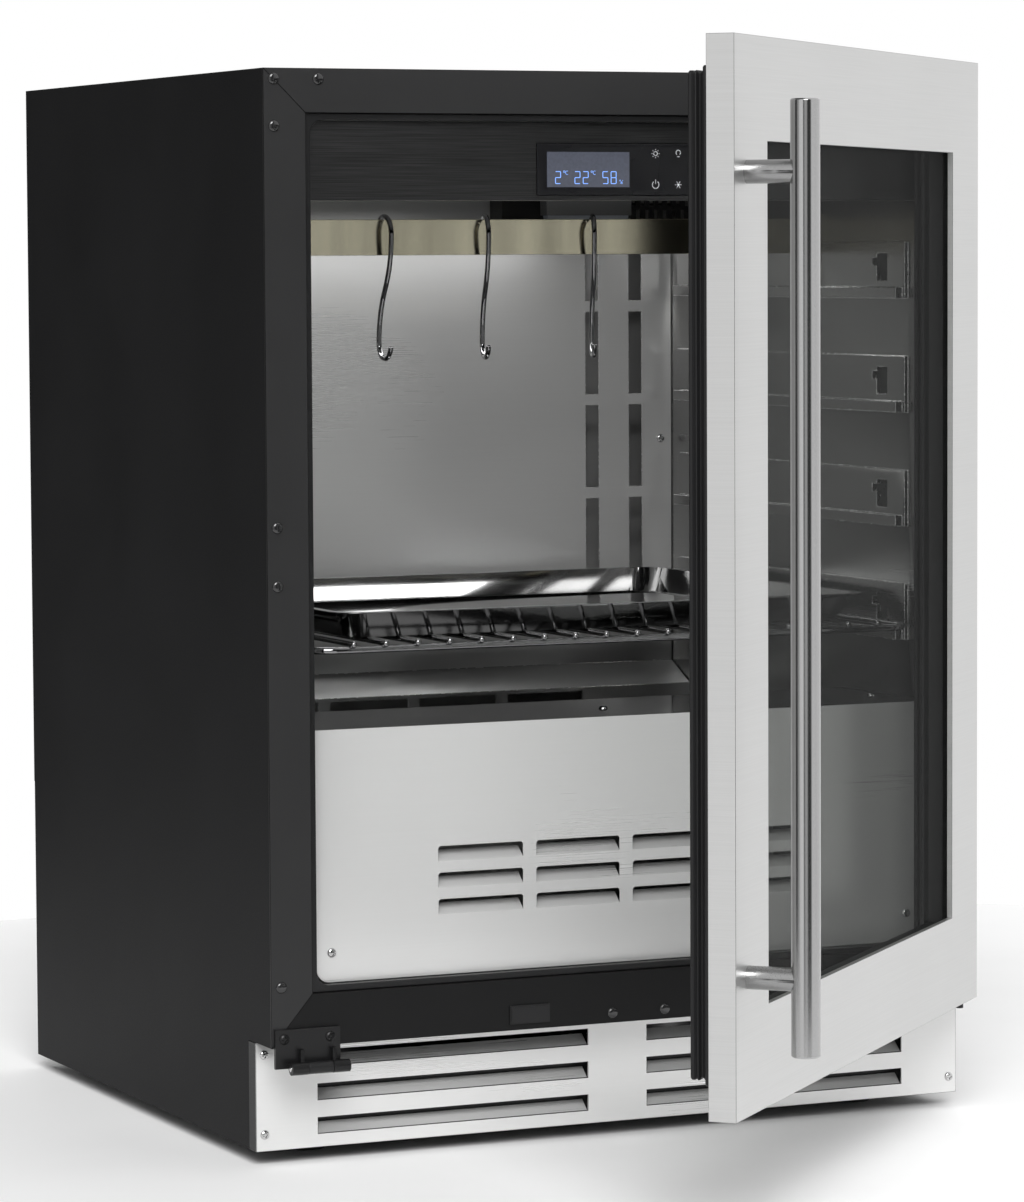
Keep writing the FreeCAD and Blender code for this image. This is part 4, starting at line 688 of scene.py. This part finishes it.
def camera():
    """A long lens from the front left, a little above the middle of the cabinet."""
    yaw, pitch, roll = (math.radians(angle) for angle in CAMERA_TURN)
    ahead = Vector((math.sin(yaw) * math.cos(pitch), math.cos(yaw) * math.cos(pitch), math.sin(pitch)))
    level = Vector((math.cos(yaw), -math.sin(yaw), 0))
    upright = level.cross(ahead)
    right = math.cos(roll) * level + math.sin(roll) * upright
    up = math.cos(roll) * upright - math.sin(roll) * level
    data = bpy.data.cameras.new("camera")
    data.sensor_width = SENSOR
    data.lens = LENS
    data.clip_end = 200
    item = bpy.data.objects.new("camera", data)
    turn = Matrix((right, up, -ahead)).transposed().to_4x4()
    item.matrix_world = Matrix.Translation(CAMERA_PLACE) @ turn
    bpy.context.scene.collection.objects.link(item)
    bpy.context.scene.camera = item


PANORAMA = (
    (-20, 0.05), (6, 0.1), (14, 1.0), (108, 1.0), (118, 0.95), (158, 1.0), (167, 0.06), (190, 0.06),
    (196, 0.6), (212, 0.6), (217, 0.1), (221, 0.2), (227, 1.15), (252, 1.0), (260, 0.5), (272, 0.15),
    (285, 0.05),
)


def world():
    """A ring of soft panels: strength against the azimuth in degrees, from +Y towards +X."""
    made = bpy.data.worlds.new("studio")
    made.use_nodes = True
    tree = made.node_tree
    place = tree.nodes.new("ShaderNodeTexCoord")
    around = tree.nodes.new("ShaderNodeTexGradient")
    around.gradient_type = "RADIAL"
    ramp = tree.nodes.new("ShaderNodeValToRGB")
    stops = sorted((((90 - azimuth) / 360 + 0.5) % 1.0, value) for azimuth, value in PANORAMA)
    points = ramp.color_ramp.elements
    while len(points) < len(stops):
        points.new(0.5)
    for point, (position, value) in zip(points, stops):
        point.position = position
    for point, (position, value) in zip(points, stops):
        point.color = (value, value, value, 1.0)
    tree.links.new(place.outputs["Generated"], around.inputs["Vector"])
    tree.links.new(around.outputs["Fac"], ramp.inputs["Fac"])
    tree.links.new(ramp.outputs["Color"], tree.nodes["Background"].inputs["Color"])
    tree.nodes["Background"].inputs["Strength"].default_value = 1.0
    bpy.context.scene.world = made


def area_light(name, place, aim, size, power):
    """A rectangular lamp that looks from its place at an aim."""
    data = bpy.data.lights.new(name, "AREA")
    data.shape = "RECTANGLE"
    data.size, data.size_y = size
    data.energy = power
    item = bpy.data.objects.new(name, data)
    item.location = place
    item.rotation_euler = (Vector(place) - Vector(aim)).to_track_quat("Z", "Y").to_euler()
    bpy.context.scene.collection.objects.link(item)


SUN_FROM = Vector((-0.35, -0.9, 0.75))
SUN_POWER = 3.0
INSIDE_POWER = 0.7
FLOOR_RADIUS = 1.4


def studio():
    """A soft sun, a strip of light under the cabinet's ceiling, and a round pale floor."""
    sun = bpy.data.lights.new("soft_sun", "SUN")
    sun.energy = SUN_POWER
    sun.angle = math.radians(35)
    item = bpy.data.objects.new("soft_sun", sun)
    item.rotation_euler = SUN_FROM.to_track_quat("Z", "Y").to_euler()
    bpy.context.scene.collection.objects.link(item)
    low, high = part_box("liner_wrap")
    top = Vector(((low.x + high.x) / 2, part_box("hanging_bar")[1].y + 45 * MM,
                  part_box("fan_housing")[0].z - 3 * MM))
    area_light("inside_light", top, top + Vector((0, 0.05, -0.4)), (0.44, 0.05), INSIDE_POWER)
    work = bmesh.new()
    bmesh.ops.create_circle(work, cap_ends=True, radius=FLOOR_RADIUS, segments=96)
    mesh = bpy.data.meshes.new("floor")
    work.to_mesh(mesh)
    work.free()
    pale = coated("floor_pale", (0.9, 0.9, 0.9), 0.8, 0.1, grit=10 * MM, height=0.0, contrast=0.01)
    mesh.materials.append(pale)
    ground = bpy.data.objects.new("floor", mesh)
    bpy.context.scene.collection.objects.link(ground)
    bpy.context.scene.view_settings.view_transform = "Standard"


camera()
world()
studio()
shells()
screws()
caps()
wire_tips()
door_moulding()
door_bellows()
display_figures()
touch_symbols()
